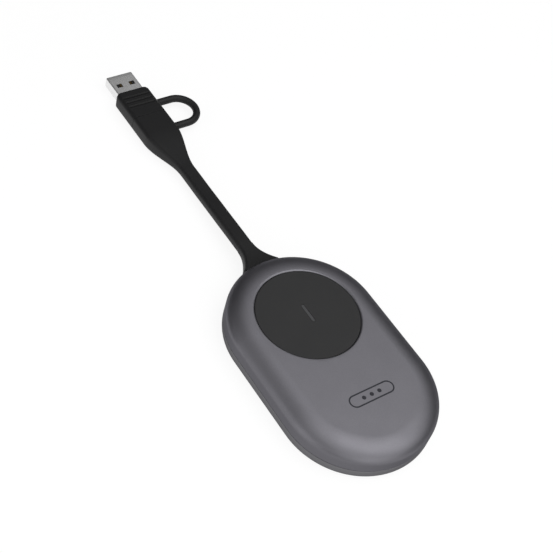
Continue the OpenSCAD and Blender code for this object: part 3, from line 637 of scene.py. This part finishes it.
def relief_rings():
    """Trumpet: size = tip + (wide - tip) * (share of the way from the tip) ** power. One
    more ring of the widest size stands inside the wall."""
    share = np.r_[1, np.linspace(1, 0, RELIEF_RINGS)]
    y = RELIEF_END_Y + (RELIEF_START_Y - RELIEF_END_Y) * share
    y[0] -= RELIEF_BACK
    width, height = (tip + RELIEF_STEP + (wide - tip - RELIEF_STEP) * share**RELIEF_POWER
                     for tip, wide in ((STRAP_WIDTH, RELIEF_WIDTH),
                                       (STRAP_THICKNESS, RELIEF_HEIGHT)))
    corner = np.full_like(y, STRAP_CORNER)
    return rings_along(straight_line(y, 0, CABLE_Z), rounded_rectangles(width, height, corner))


strain_relief = ring_solid("strain_relief_skin", relief_rings(), "root", "cable_rubber")
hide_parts("cable_strain_relief")
print("length of the strain relief in mm:", round(RELIEF_END_Y - RELIEF_START_Y, 1))

# %% [markdown]
# The plug's body narrows to the cable in an S curve. A smooth step, 3t squared less
# 2t cubed, is level at both ends, so that the tail leaves the full width and joins the
# cable without a corner. The front of the body has a hairline round edge where the
# adapter meets it.

# %% Plug body
plug_low, plug_high = box_of("plug_housing")
PLUG_WIDTH, PLUG_LENGTH, PLUG_THICKNESS = plug_high - plug_low
PLUG_X, PLUG_Z = ((plug_low + plug_high) / 2)[[0, 2]]
TAIL_Y, PLUG_Y = plug_low[1], plug_high[1]
PLUG_CORNER, PLUG_FULL = 1.6, 9.5
SEAM_ROUND = 0.08
TAIL_RINGS = 44


def smooth_step(t):
    """3t squared less 2t cubed."""
    return t * t * (3 - 2 * t)


def along_plug(y, outlines):
    """Stands outlines upright on the plug's middle line."""
    return rings_along(straight_line(y, PLUG_X, PLUG_Z), outlines)


def plug_rings():
    """The tail by a smooth step, then the full width, then the rounded front edge."""
    t = np.linspace(0, 1, TAIL_RINGS)
    grow = smooth_step(t)
    sines, cosines = quarter_turn(EDGE_STEPS)
    tail_y = TAIL_Y + (PLUG_Y - PLUG_FULL - TAIL_Y) * t
    y = np.r_[tail_y, tail_y[-1] + SEAM_ROUND, PLUG_Y - 2 * SEAM_ROUND,
              PLUG_Y - SEAM_ROUND * (1 - sines)]
    inset = np.r_[0, 0, SEAM_ROUND * (1 - cosines)]
    width, height, radius = (
        np.r_[thin + (full - thin) * grow, full - sides * inset]
        for thin, full, sides in ((STRAP_WIDTH, PLUG_WIDTH, 2),
                                  (STRAP_THICKNESS, PLUG_THICKNESS, 2),
                                  (STRAP_CORNER, PLUG_CORNER, 1)))
    return along_plug(y, rounded_rectangles(width, height, radius))


plug_body = ring_solid("plug_body_skin", plug_rings(), "root", "plug_rubber")
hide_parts("plug_housing")
print("plug body in mm:", np.round([PLUG_WIDTH, PLUG_LENGTH, PLUG_THICKNESS], 1))

# %% [markdown]
# The adapter's body has three grip grooves across its wide faces. Each sinks slowly
# from the rear and rises steeply at the front, as finger grips do: a thumb slides over
# them one way and holds the other way. The slow side is turned away from the lamps
# and draws the groove as a dark line. The depth fades out before the edges.

# %% Grip grooves
adapter_low, adapter_high = box_of("adapter_housing")
ADAPTER_Y, ADAPTER_FRONT_Y = adapter_low[1], adapter_high[1]
GROOVE_FIRST, GROOVE_PITCH, GROOVE_COUNT = 4.1, 2.6, 3
GROOVE_DEPTH, GROOVE_WIDTH, GROOVE_STEEP = 0.35, 1.3, 0.25
GROOVE_REACH, GROOVE_FADE = 6.1, 1.0


def groove_depth(x, y):
    """Depth of the grooves at a point of a wide face: a smooth step down along the slow
    side times a smooth step up along the steep side, faded towards the edges."""
    middles = ADAPTER_FRONT_Y - GROOVE_FIRST - GROOVE_PITCH * np.arange(GROOVE_COUNT)
    along = (y[..., None] - middles + GROOVE_WIDTH / 2) / GROOVE_WIDTH
    down = np.clip(along / (1 - GROOVE_STEEP), 0, 1)
    up = np.clip((1 - along) / GROOVE_STEEP, 0, 1)
    fade = np.clip((GROOVE_REACH - np.abs(x)) / GROOVE_FADE, 0, 1)
    return GROOVE_DEPTH * (smooth_step(down) * smooth_step(up)).max(-1) * smooth_step(fade)


print("grooves on each face of the adapter:", GROOVE_COUNT)

# %% [markdown]
# The grooves are pressed into the rings of the adapter's body: each point of a wide
# face sinks by the depth at its place. The front of the body is rounded twice, once
# seen from above and once in profile. Both ends have true pockets, one for the small
# plug's shell and one for the metal shell of the large plug.

# %% Adapter body
FRONT_PLAN_ROUND, FRONT_FACE_ROUND = 1.8, 0.7
RECEPTACLE_WIDTH, RECEPTACLE_THICKNESS, RECEPTACLE_DEPTH = 9.1, 3.26, 7.0
PILL = 0.49  # corner radius of a pill as a share of its height; at a half, points meet
SHELL_WIDTH, SHELL_THICKNESS, SHELL_POCKET, SHELL_CORNER = 12.1, 4.6, 5.4, 0.5
SHARPEST_CORNER = 0.6
OUTLINE_STEPS = (7, 41)  # points in a corner and along a wide face
MIDDLE_RINGS, FRONT_RINGS = 180, 16


def front_inset(y, radius):
    """How far a rounded front draws in: radius * (1 - root of (1 - share squared)), as
    the share grows from 0 to 1 over the last stretch, one radius long."""
    share = np.clip((y - ADAPTER_FRONT_Y + radius) / radius, 0, 1)
    return radius * (1 - np.sqrt(1 - share**2))


def adapter_rings():
    """Outer skin from the rear face to the front face, with the grooves pressed in."""
    sines, cosines = quarter_turn(EDGE_STEPS)
    rear = ADAPTER_Y + SEAM_ROUND * (1 - cosines)
    middle = np.linspace(ADAPTER_Y + SEAM_ROUND, ADAPTER_FRONT_Y - FRONT_PLAN_ROUND,
                         MIDDLE_RINGS)[1:]
    front = ADAPTER_FRONT_Y - FRONT_PLAN_ROUND * (1 - quarter_turn(FRONT_RINGS)[0][1:])
    y = np.r_[rear, middle, front]
    seam = np.r_[SEAM_ROUND * (1 - sines), np.zeros(len(middle) + len(front))]
    side_in, face_in = (seam + front_inset(y, r) for r in (FRONT_PLAN_ROUND, FRONT_FACE_ROUND))
    width, height = PLUG_WIDTH - 2 * side_in, PLUG_THICKNESS - 2 * face_in
    radius = np.maximum(PLUG_CORNER - face_in, SHARPEST_CORNER)
    rings = along_plug(y, rounded_rectangles(width, height, radius, *OUTLINE_STEPS))
    above = rings[..., 2] - PLUG_Z
    on_face = np.abs(np.abs(above) - height[:, None] / 2) < TINY
    rings[..., 2] -= np.sign(above) * on_face * groove_depth(rings[..., 0] - PLUG_X, rings[..., 1])
    return rings


def pocket_rings(width, height, radius, mouth_y, floor_y):
    """Two rings of a pocket: its mouth and its floor."""
    return along_plug(np.array([mouth_y, floor_y]),
                      rounded_rectangles(width, height, radius, *OUTLINE_STEPS))


receptacle_pocket = pocket_rings(
    RECEPTACLE_WIDTH, RECEPTACLE_THICKNESS, PILL * RECEPTACLE_THICKNESS,
    ADAPTER_Y, ADAPTER_Y + RECEPTACLE_DEPTH)
shell_pocket = pocket_rings(SHELL_WIDTH, SHELL_THICKNESS, SHELL_CORNER,
                            ADAPTER_FRONT_Y, ADAPTER_FRONT_Y - SHELL_POCKET)
adapter_body = ring_solid(
    "adapter_body_skin",
    np.concatenate([receptacle_pocket[::-1], adapter_rings(), shell_pocket]),
    "adapter", "plug_rubber")
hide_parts("adapter_housing")
print("length of the adapter in mm:", round(ADAPTER_FRONT_Y - ADAPTER_Y, 1))

# %% [markdown]
# The tether is a round elastic cord moulded to both bodies. It runs out of the plug,
# round a half circle and into the adapter. Rings stand square to the path, in the
# plane of the table, and swell a little at both ends, where the real moulding has a
# fillet. It crosses the joint between plug and adapter, so it rides on neither body,
# and its place is baked into its points.

# %% Tether
tether_low, tether_high = box_of("tether_loop")
TETHER_RADIUS = (tether_high[2] - tether_low[2]) / 2
TETHER_BEND = (tether_high[1] - tether_low[1]) / 2 - TETHER_RADIUS
TETHER_START_X = tether_low[0]
TETHER_BEND_X = tether_high[0] - TETHER_RADIUS - TETHER_BEND
FILLET_REACH, FILLET_SWELL = 1.3, 0.35
TETHER_LEG_STEPS, TETHER_BEND_STEPS, TETHER_ROUND_STEPS = 15, 48, 24


def tether_rings():
    """Leg, half circle, leg: each ring is a circle across the path's direction. Its
    radius grows by swell * (nearness to the end) squared."""
    leg = np.linspace(TETHER_START_X, TETHER_BEND_X, TETHER_LEG_STEPS + 1)[:-1]
    turn = np.linspace(-np.pi / 2, np.pi / 2, TETHER_BEND_STEPS)
    across = np.pad(turn, TETHER_LEG_STEPS, mode="edge")
    x = np.r_[leg, TETHER_BEND_X + TETHER_BEND * np.cos(turn), leg[::-1]]
    y = PLUG_Y + TETHER_BEND * np.sin(across)
    near = np.clip(1 - (x - TETHER_START_X) / FILLET_REACH, 0, 1)
    radius = TETHER_RADIUS + FILLET_SWELL * near**2
    outward, upward = unit_circle(TETHER_ROUND_STEPS).T
    out = radius[:, None] * outward
    return np.stack([x[:, None] + out * np.cos(across)[:, None],
                     y[:, None] + out * np.sin(across)[:, None],
                     PLUG_Z + np.minimum(radius, TETHER_RADIUS)[:, None] * upward], -1)


tether = ring_solid("tether_skin", tether_rings(), None, "cable_rubber")
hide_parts("tether_loop")
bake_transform(tether)
print("thickness of the tether in mm:", round(2 * TETHER_RADIUS, 1))

# %% [markdown]
# The shells of both plugs are thin sheet metal. The large one has two latch holes in
# each wide face. A boolean would cut them, but the grid makes it simpler: the rings
# have points exactly where the holes begin and end, the cells between them are left
# out of both skins, and every edge between an open cell and a closed one gets a small
# wall.

# %% Sheet metal with openings
SHEET = 0.3


def sheet_shell(name, outer, inner, is_open, body, slot):
    """Two skins with the same grid. Open cells are left out, and a wall joins the skins
    at both ends and round each opening."""
    rows, count = outer.shape[:2]
    inside = rows * count
    number = np.arange(inside).reshape(rows, count)
    beside = np.roll(number, -1, 1)
    low, low_beside, high, high_beside = number[:-1], beside[:-1], number[1:], beside[1:]
    quads = np.stack([low, low_beside, high_beside, high], -1)[~is_open]
    walls = [(number[0], beside[0], -1), (number[-1], beside[-1], 1)]
    shut = np.zeros((1, count), bool)
    for neighbour, a, b in ((np.roll(is_open, 1, 1), high, low),
                            (np.roll(is_open, -1, 1), low_beside, high_beside),
                            (np.vstack([shut, is_open[:-1]]), low, low_beside),
                            (np.vstack([is_open[1:], shut]), high_beside, high)):
        edge = is_open & ~neighbour
        walls.append((a[edge], b[edge], 1))
    faces = [quads, quads[:, ::-1] + inside]
    faces += [np.stack([a, b, b + inside, a + inside], 1)[:, ::turn] for a, b, turn in walls]
    points = np.vstack([outer.reshape(-1, 3), inner.reshape(-1, 3)])
    return add_piece(name, points, faces, body, slot)


print("sheet of the shells in mm:", SHEET)

# %% [markdown]
# The shell of the large plug is folded, so its corners are tight and a fine seam runs
# along its underside where the edges meet. Its tip is drawn in a little, which leads
# it into a socket.

# %% Shell of the large plug
USBA_WIDTH, USBA_THICKNESS, USBA_CORNER, USBA_INNER_CORNER = 12.0, 4.5, 0.5, 0.25
LATCH_X, LATCH_WIDTH, LATCH_LENGTH, LATCH_FROM_TIP = 2.88, 2.5, 2.0, 6.07
SEAM_HALF, SEAM_DEPTH = 0.12, 0.12
SEAM_SIDE_X, FACE_END_X = 0.8, 5.0
USBA_TIP = np.array([(2.0, 0), (0.25, 0), (0.1, 0.02), (0, 0.06)])  # from tip, drawn in
HOLE_BAND = 1  # the holes lie between the second ring and the third


def usb_a_shell():
    """Folded shell: points at the seam and the holes, and one open band for the holes."""
    low, high = box_of("usb_a_shell")
    hole_from, hole_to = LATCH_X - LATCH_WIDTH / 2, LATCH_X + LATCH_WIDTH / 2
    right = np.array([FACE_END_X, hole_to, hole_from, SEAM_SIDE_X, SEAM_HALF])
    run = np.r_[right, 0, -right[::-1]][None]
    outline, inner = (
        outlines_through(run, USBA_WIDTH - 2 * inwards, USBA_THICKNESS - 2 * inwards, corner,
                         EDGE_STEPS)
        for inwards, corner in ((0, USBA_CORNER), (SHEET, USBA_INNER_CORNER)))
    hole_y = high[1] - LATCH_FROM_TIP + np.array([-1, 1]) * LATCH_LENGTH / 2
    y = np.r_[low[1], hole_y, high[1] - USBA_TIP[:, 0]]
    inset = np.r_[np.zeros(3), USBA_TIP[:, 1]]
    half_size = np.array([USBA_WIDTH, USBA_THICKNESS]) / 2
    outer = outline * (1 - inset[:, None, None] / half_size)
    x, z = outline[0].T
    outer[:, (np.abs(x) < SEAM_HALF / 2) & (z < 0), 1] += SEAM_DEPTH
    flat_cell = np.abs(z - np.roll(z, -1)) < TINY
    middle_x = np.abs(x + np.roll(x, -1)) / 2
    in_x = flat_cell & (middle_x > hole_from) & (middle_x < hole_to)
    in_y = np.arange(len(y) - 1) == HOLE_BAND
    return sheet_shell("usb_a_shell_skin", along_plug(y, outer), along_plug(y, inner),
                       in_y[:, None] & in_x, "adapter", "shell_steel")


usb_a = usb_a_shell()
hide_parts("usb_a_shell")
print("faces of the large plug's shell:", len(usb_a.data.polygons))

# %% [markdown]
# The shell of the small plug is drawn, not folded: a flat pill section with a rounded
# front lip and no seam.

# %% Shell of the small plug
USBC_TIP = np.array([(0.3, 0), (0.1, 0.05), (0, 0.15)])  # from tip, drawn in
USBC_STEPS = (9, 5)


def usb_c_shell():
    """Two pill sections, one sheet apart, with the outer one drawn in at the tip."""
    low, high = box_of("usb_c_shell")
    width, height = (high - low)[[0, 2]]
    inner_height = height - 2 * SHEET
    y = np.r_[low[1], high[1] - USBC_TIP[:, 0]]
    inset = np.r_[0, USBC_TIP[:, 1]]
    outer = along_plug(y, rounded_rectangles(
        width - 2 * inset, height - 2 * inset, PILL * height - inset, *USBC_STEPS))
    inner = along_plug(y, rounded_rectangles(
        width - 2 * SHEET, inner_height, PILL * inner_height, *USBC_STEPS))
    no_hole = np.zeros((len(y) - 1, outer.shape[1]), bool)
    return sheet_shell("usb_c_shell_skin", outer, inner, no_hole, "root", "shell_steel")


usb_c = usb_c_shell()
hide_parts("usb_c_shell")
print("faces of the small plug's shell:", len(usb_c.data.polygons))

# %% [markdown]
# The photographed cover has a small printed mark where a phone is tapped. Here its
# place holds a plain one: a slim capsule outline with three dots. It is real geometry,
# as thick as a print, so that it stays crisp at any size.

# %% Tap mark
MARK_PLACE = np.array([1.0, -21.7])
MARK_LENGTH, MARK_WIDTH, MARK_LINE = 18.6, 4.6, 0.55
DOT_RADIUS, DOT_PITCH, DOT_COUNT = 0.8, 3.4, 3
MARK_STEPS, DOT_STEPS = 25, 32
MARK_FOOT_Z = FACE_Z - 0.05


def mark_ring(grow, height):
    """Capsule outline along X, grown by grow."""
    turn = np.linspace(-np.pi / 2, np.pi / 2, MARK_STEPS)
    radius = MARK_WIDTH / 2 + grow
    reach = (MARK_LENGTH - MARK_WIDTH) / 2
    half = np.c_[reach + radius * np.cos(turn), radius * np.sin(turn)]
    return level_ring(np.vstack([half, -half]) + MARK_PLACE, height)


def tap_outline():
    """The capsule's line: out along its foot and back along its top."""
    half = MARK_LINE / 2
    rings = [mark_ring(grow, z) for grow, z in ((-half, MARK_FOOT_Z), (half, MARK_FOOT_Z),
                                                (half, TOP_Z), (-half, TOP_Z))]
    return ring_solid("tap_outline", rings, "root", "button_plastic", closed=True)


def tap_dot(index):
    """A flat disc; the dots are spaced evenly about the mark's middle."""
    place = MARK_PLACE + [(index - (DOT_COUNT - 1) / 2) * DOT_PITCH, 0]
    disc = DOT_RADIUS * unit_circle(DOT_STEPS) + place
    return ring_solid(f"tap_dot_{index}", upright(disc, MARK_FOOT_Z, TOP_Z),
                      "root", "button_plastic")


mark_pieces = [tap_outline()] + [tap_dot(k) for k in range(DOT_COUNT)]
print("pieces of the tap mark:", len(mark_pieces))

# %% [markdown]
# Now the finishes. Each one is a small node tree on a Principled shader. One helper
# fills the sockets of a node, with a constant or a link, and the other adds a node. A
# value that is the same all over a surface is a constant on the shader's own socket.

# %% Nodes in few words
def fill(node, values):
    """Gives sockets their values: another node's output is linked, and a number, a
    colour or a vector is set."""
    for socket, value in values.items():
        if isinstance(value, bpy.types.NodeSocket):
            node.id_data.links.new(value, node.inputs[socket])
        else:
            node.inputs[socket].default_value = value


def add_node(tree, kind, values, **settings):
    """Adds a shader node with its settings, and fills its sockets."""
    node = tree.nodes.new("ShaderNode" + kind)
    for name, setting in settings.items():
        setattr(node, name, setting)
    fill(node, values)
    return node


def new_material(name, colour, roughness, metallic=0.0, specular=0.5):
    """A Principled shader with its constant values on its own sockets."""
    material = bpy.data.materials.new(f"{name}_finish")
    material.use_nodes = True
    shader = material.node_tree.nodes["Principled BSDF"]
    fill(shader, {"Base Color": (*colour, 1), "Roughness": roughness,
                  "Metallic": metallic, "Specular IOR Level": specular})
    return material, material.node_tree, shader


print("materials before the finishes:", len(bpy.data.materials))

# %% [markdown]
# A fine noise changes the colour a little, another one the roughness, and a third one
# the surface's height, because no moulded or painted part is perfectly even. All of
# them read Object coordinates, which lie in the mesh and so stay put when a piece
# moves.

# %% Noise, tint and grain
NOISE_FROM, NOISE_TO = 0.3, 0.7  # most of a noise's values lie in this range
DRIFT_SCALE, DRIFT_DETAIL, GRAIN_DETAIL = 90, 2.0, 4.0
ROUGHNESS_SPREAD = 0.08


def noise(tree, scale, detail=3.0, stretch=(1, 1, 1)):
    """A noise texture on Object coordinates, stretched by a Mapping node."""
    place = add_node(tree, "TexCoord", {})
    mapping = add_node(tree, "Mapping", {"Vector": place.outputs["Object"], "Scale": stretch})
    return add_node(tree, "TexNoise", {"Vector": mapping.outputs["Vector"], "Scale": scale,
                                       "Detail": detail}).outputs["Fac"]


def vary(tree, value, low, high):
    """Maps a noise value to a range from low to high."""
    return add_node(tree, "MapRange", {
        "Value": value, "From Min": NOISE_FROM, "From Max": NOISE_TO,
        "To Min": low, "To Max": high}).outputs["Result"]


def tint(tree, value, colour, spread):
    """A colour between (1 - spread) and (1 + spread) times the given one."""
    dark, light = ((*(c * share for c in colour), 1) for share in (1 - spread, 1 + spread))
    return add_node(tree, "Mix", {"Factor": value, "A": dark, "B": light},
                    data_type="RGBA").outputs["Result"]


def grain(tree, value, height):
    """Uses a noise value as surface height, in metres."""
    return add_node(tree, "Bump", {"Height": value, "Distance": height}).outputs["Normal"]


def moulded(name, colour, roughness, spread=0.08, fine=1800, bump=4e-6, metallic=0.0,
            specular=0.5, stretch=(1, 1, 1)):
    """A moulded, painted or rolled surface: slow colour drift, fine grain, and a
    roughness that wanders."""
    material, tree, shader = new_material(name, colour, roughness, metallic, specular)
    slow = vary(tree, noise(tree, DRIFT_SCALE, DRIFT_DETAIL), 0, 1)
    quick = noise(tree, fine, GRAIN_DETAIL, stretch)
    fill(shader, {
        "Base Color": tint(tree, slow, colour, spread),
        "Roughness": vary(tree, quick, roughness * (1 - ROUGHNESS_SPREAD),
                          min(roughness * (1 + ROUGHNESS_SPREAD), 1)),
        "Normal": grain(tree, quick, bump)})
    return material


print("width of the slow drift in mm:", round(1 / DRIFT_SCALE / MM))

# %% [markdown]
# The cover's paint holds fine metal flakes. From afar they act as one dull metal: the
# shoulder goes from bright to almost black within a few millimetres, which no matt
# pigment does. So the shader is fully metallic with a wide gloss, and cells a tenth of
# a millimetre wide change the tone a little from flake to flake. A thin clear coat
# would be too shiny for the satin look. A plain metal turns white where it is seen at
# a flat angle, and this paint turns dark there, so the shader's edge tint is a grey.

# %% Finishes of the body
EDGE_TINT = (0.35, 0.35, 0.35, 1)
FLAKE_SCALE, FLAKE_SPREAD = 9000, 0.07
GLOSS_SCALE, GLOSS_SPREAD = 120, 0.05
PEEL_SCALE, PEEL_DETAIL, PEEL_HEIGHT = 2500, 2.0, 1.5e-6


def flake_paint(name, colour, roughness):
    """Metal whose tone changes from cell to cell of a fine pattern, under the slight
    unevenness that sprayed paint has."""
    material, tree, shader = new_material(name, colour, roughness, metallic=1.0)
    place = add_node(tree, "TexCoord", {})
    cells = add_node(tree, "TexVoronoi",
                     {"Vector": place.outputs["Object"], "Scale": FLAKE_SCALE})
    flake = add_node(tree, "SeparateColor", {"Color": cells.outputs["Color"]})
    fill(shader, {
        "Specular Tint": EDGE_TINT,
        "Base Color": tint(tree, flake.outputs["Red"], colour, FLAKE_SPREAD),
        "Roughness": vary(tree, noise(tree, GLOSS_SCALE), roughness * (1 - GLOSS_SPREAD),
                          roughness * (1 + GLOSS_SPREAD)),
        "Normal": grain(tree, noise(tree, PEEL_SCALE, PEEL_DETAIL), PEEL_HEIGHT)})
    return material


finish_of_slot = {
    "cover_paint": flake_paint("cover_paint", (0.165, 0.162, 0.178), 0.45),
    "base_plastic": flake_paint("base_paint", (0.182, 0.18, 0.189), 0.5),
    "button_plastic": moulded("button_plastic", (0.0195, 0.0195, 0.02), 0.6,
                              spread=0.04, fine=3500, bump=5e-6, specular=0.3),
    "light_plastic": moulded("light_plastic", (0.048, 0.048, 0.051), 0.45,
                             spread=0.03, specular=0.3),
}
print_ink = moulded("print_ink", (0.028, 0.028, 0.034), 0.7, spread=0.03, specular=0.2)
print("slots with a finish:", len(finish_of_slot))

# %% [markdown]
# The cable, the plug and the tether are one soft moulding compound. It is almost black
# and has a fine matt grain from the mould, which breaks up its highlights. The metal
# of the shells is plated sheet: its rolling marks run along the plug, so its
# noise is stretched ten times in that direction.

# %% Finishes of the cable and the plugs
SOFT = dict(spread=0.1, fine=2600, bump=8e-6, specular=0.25)
ROLLED = dict(metallic=1.0, stretch=(1, 0.1, 1))
finish_of_slot |= {
    "cable_rubber": moulded("cable_rubber", (0.008, 0.008, 0.0085), 0.52, **SOFT),
    "plug_rubber": moulded("plug_rubber", (0.0063, 0.0063, 0.0068), 0.5, **SOFT),
    "shell_steel": moulded("shell_steel", (0.82, 0.82, 0.82), 0.28,
                           spread=0.02, fine=1500, bump=4e-7, **ROLLED),
    "pad_rubber": moulded("pad_rubber", (0.02, 0.02, 0.021), 0.75,
                          spread=0.1, fine=1500, bump=1.2e-5),
    "tongue_plastic": moulded("tongue_plastic", (0.012, 0.012, 0.013), 0.45),
    # The contact gold is made far darker than real gold: painted shade for the cavity behind the
    # latch holes.
    "contact_metal": moulded("contact_gold_painted_shade", (0.1, 0.07, 0.027), 0.4, spread=0.05, metallic=1.0),
}
print("slots with a finish:", len(finish_of_slot))

# %% [markdown]
# The sealed inner pieces show only when the model is taken apart. Each of them gets
# the finish of its own material: green laminate, tinned cans, copper foil, and so on.

# %% Finishes of the inner pieces
METAL = dict(metallic=1.0)
INNER_FINISHES = {  # slot: colour, roughness and what else differs
    "screw_steel": ((0.45, 0.45, 0.46), 0.35, METAL),
    "chip_plastic": ((0.02, 0.02, 0.021), 0.6, {}),
    "inner_plastic": ((0.05, 0.05, 0.052), 0.6, {}),
    "dome_rubber": ((0.5, 0.5, 0.46), 0.7, {}),
    "switch_metal": ((0.6, 0.6, 0.6), 0.3, METAL),
    "board_laminate": ((0.012, 0.1, 0.04), 0.4, dict(spread=0.15, fine=900)),
    "thermal_rubber": ((0.3, 0.36, 0.45), 0.8, {}),
    "spreader_metal": ((0.65, 0.65, 0.66), 0.35, ROLLED),
    "copper_foil": ((0.62, 0.3, 0.15), 0.3, METAL),
    "ferrite": ((0.03, 0.03, 0.03), 0.5, {}),
    "connector_plastic": ((0.75, 0.72, 0.62), 0.45, {}),
    "lead_plastic": ((0.35, 0.03, 0.03), 0.45, {}),
}
finish_of_slot |= {slot: moulded(slot, colour, roughness, **more)
                   for slot, (colour, roughness, more) in INNER_FINISHES.items()}
print("slots with a finish:", len(finish_of_slot))

# %% [markdown]
# Each piece is given the finish of its slot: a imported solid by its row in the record,
# and a new piece by the slot that it was made with. The print has a finish of its own.

# %% Put the finishes on
def put_on(piece, material):
    """The piece keeps no other material than this one."""
    piece.data.materials.clear()
    piece.data.materials.append(material)


slot_of_node = {s["node"]: s["material_slot"] for s in frame["record"]["subparts"]}
for node, solid in frame["nodes"].items():
    put_on(solid, finish_of_slot[slot_of_node[node]])
new_pieces = [piece for piece in bpy.data.objects if "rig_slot" in piece]
for piece in new_pieces:
    put_on(piece, finish_of_slot[piece["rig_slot"]])
for piece in mark_pieces:
    put_on(piece, print_ink)
print("new pieces:", len(new_pieces))

# %% [markdown]

# %% [markdown]
# The photograph shows the object on pure white, with hardly any shadow. A floor lit to
# white would also wash out the object, so the floor shows white to the camera by
# itself, keeps a faint share of the shadow that falls on it, and stays an ordinary
# pale floor to all other light.

# %% Floor
FLOOR_HALF = 10.0
FLOOR_COLOUR, FLOOR_ROUGHNESS = (0.85, 0.85, 0.85), 0.9
FLOOR_WHITE_SHARE, FLOOR_WHITE = 0.85, 1.04


def highest(tree, first, *others):
    """The highest of some values. A Maximum node takes two, so they are chained."""
    for other in others:
        first = add_node(tree, "Math", {0: first, 1: other}, operation="MAXIMUM").outputs[0]
    return first


def camera_white(tree, shader, share, strength):
    """Shows white to the camera, and to mirror and glass rays, by the given share."""
    ray = add_node(tree, "LightPath", {}).outputs
    seen = highest(tree, ray["Is Camera Ray"], ray["Is Glossy Ray"], ray["Is Transmission Ray"])
    shown = add_node(tree, "Math", {0: seen, 1: share}, operation="MULTIPLY")
    glow = add_node(tree, "Emission", {"Strength": strength})
    mix = add_node(tree, "MixShader", {0: shown.outputs[0], 1: shader.outputs[0],
                                       2: glow.outputs[0]})
    fill(tree.nodes["Material Output"], {"Surface": mix.outputs[0]})


def add_floor():
    """One large square at the height that the object stands on."""
    mesh = bpy.data.meshes.new("floor")
    corners = np.array([(-1, -1, 0), (1, -1, 0), (1, 1, 0), (-1, 1, 0)]) * FLOOR_HALF
    mesh.from_pydata(corners.tolist(), [], [(0, 1, 2, 3)])
    floor = add_object("floor", mesh)
    material, tree, shader = new_material("floor_white", FLOOR_COLOUR, FLOOR_ROUGHNESS)
    camera_white(tree, shader, FLOOR_WHITE_SHARE, FLOOR_WHITE)
    put_on(floor, material)


add_floor()
print("side of the floor in metres:", 2 * FLOOR_HALF)

# %% [markdown]
# A dull metal shows its surroundings, so the shading of the shoulder says where the
# lamps stood: most of them at the bright near end, and nothing strong behind the dark
# far end. Two low lamps, near and left, light the wall that the camera sees, and the
# faint ones on the right show in the metal shell. The discs are almost as wide as they
# are far away, because small ones would show as separate bands on the shoulder.
# All lamps are soft discs at one distance, so each needs three numbers: the bearing,
# counted from +X towards +Y, the height above the horizon, both in degrees, and the
# power in watts.

# %% Lamps
LAMP_DISTANCE, LAMP_SIZE = 1000.0, 900.0
LAMPS = {
    "near_left": (240, 30, 2.2),
    "near_right": (300, 45, 1.7),
    "low_near": (270, 15, 2.2),
    "high_right": (330, 60, 2.4),
    "high_near_left": (240, 75, 2.4),
    "left": (180, 15, 2.8),
    "far_left": (150, 45, 1.1),
    "overhead": (30, 75, 1.4),
    "right": (30, 60, 1.1),
    "far_right": (45, 45, 0.3),
}


def add_lamp(name, bearing, height, power):
    """A soft disc on a sphere round the object: its direction is the cosine and sine of
    the bearing, flattened by the cosine of the height, with the height's sine as z."""
    bearing, height = math.radians(bearing), math.radians(height)
    away = Vector((math.cos(bearing) * math.cos(height),
                   math.sin(bearing) * math.cos(height), math.sin(height)))
    data = bpy.data.lights.new(name, "AREA")
    data.shape = "DISK"
    data.size = LAMP_SIZE * MM
    data.energy = power
    lamp = add_object(name, data)
    lamp.location = away * LAMP_DISTANCE * MM
    lamp.rotation_euler = away.to_track_quat("Z", "Y").to_euler()


for lamp_name, setting in LAMPS.items():
    add_lamp(lamp_name, *setting)
print("power of all lamps in watts:", round(sum(setting[-1] for setting in LAMPS.values()), 1))

# %% [markdown]
# The world behind the lamps is white to the camera alone. To everything else it is
# almost dark, a little less so to mirror and glass rays, because a bright world would
# fill the dark far edge with grey.

# %% World
WORLD_FILL, WORLD_MIRROR = 0.05, 0.08
scene.world = bpy.data.worlds.new("studio")
scene.world.use_nodes = True
world_tree = scene.world.node_tree
world_ray = add_node(world_tree, "LightPath", {}).outputs
mirror_ray = highest(world_tree, world_ray["Is Glossy Ray"], world_ray["Is Transmission Ray"])
dim_light = add_node(world_tree, "MapRange", {
    "Value": mirror_ray, "To Min": WORLD_FILL, "To Max": WORLD_MIRROR}).outputs["Result"]
fill(world_tree.nodes["Background"], {
    "Color": (1, 1, 1, 1), "Strength": highest(world_tree, world_ray["Is Camera Ray"], dim_light)})
print("strength of the world on the object:", WORLD_FILL)

# %% [markdown]
# The last cell brings the scene up to date.

# %% Finish
bpy.context.view_layer.update()
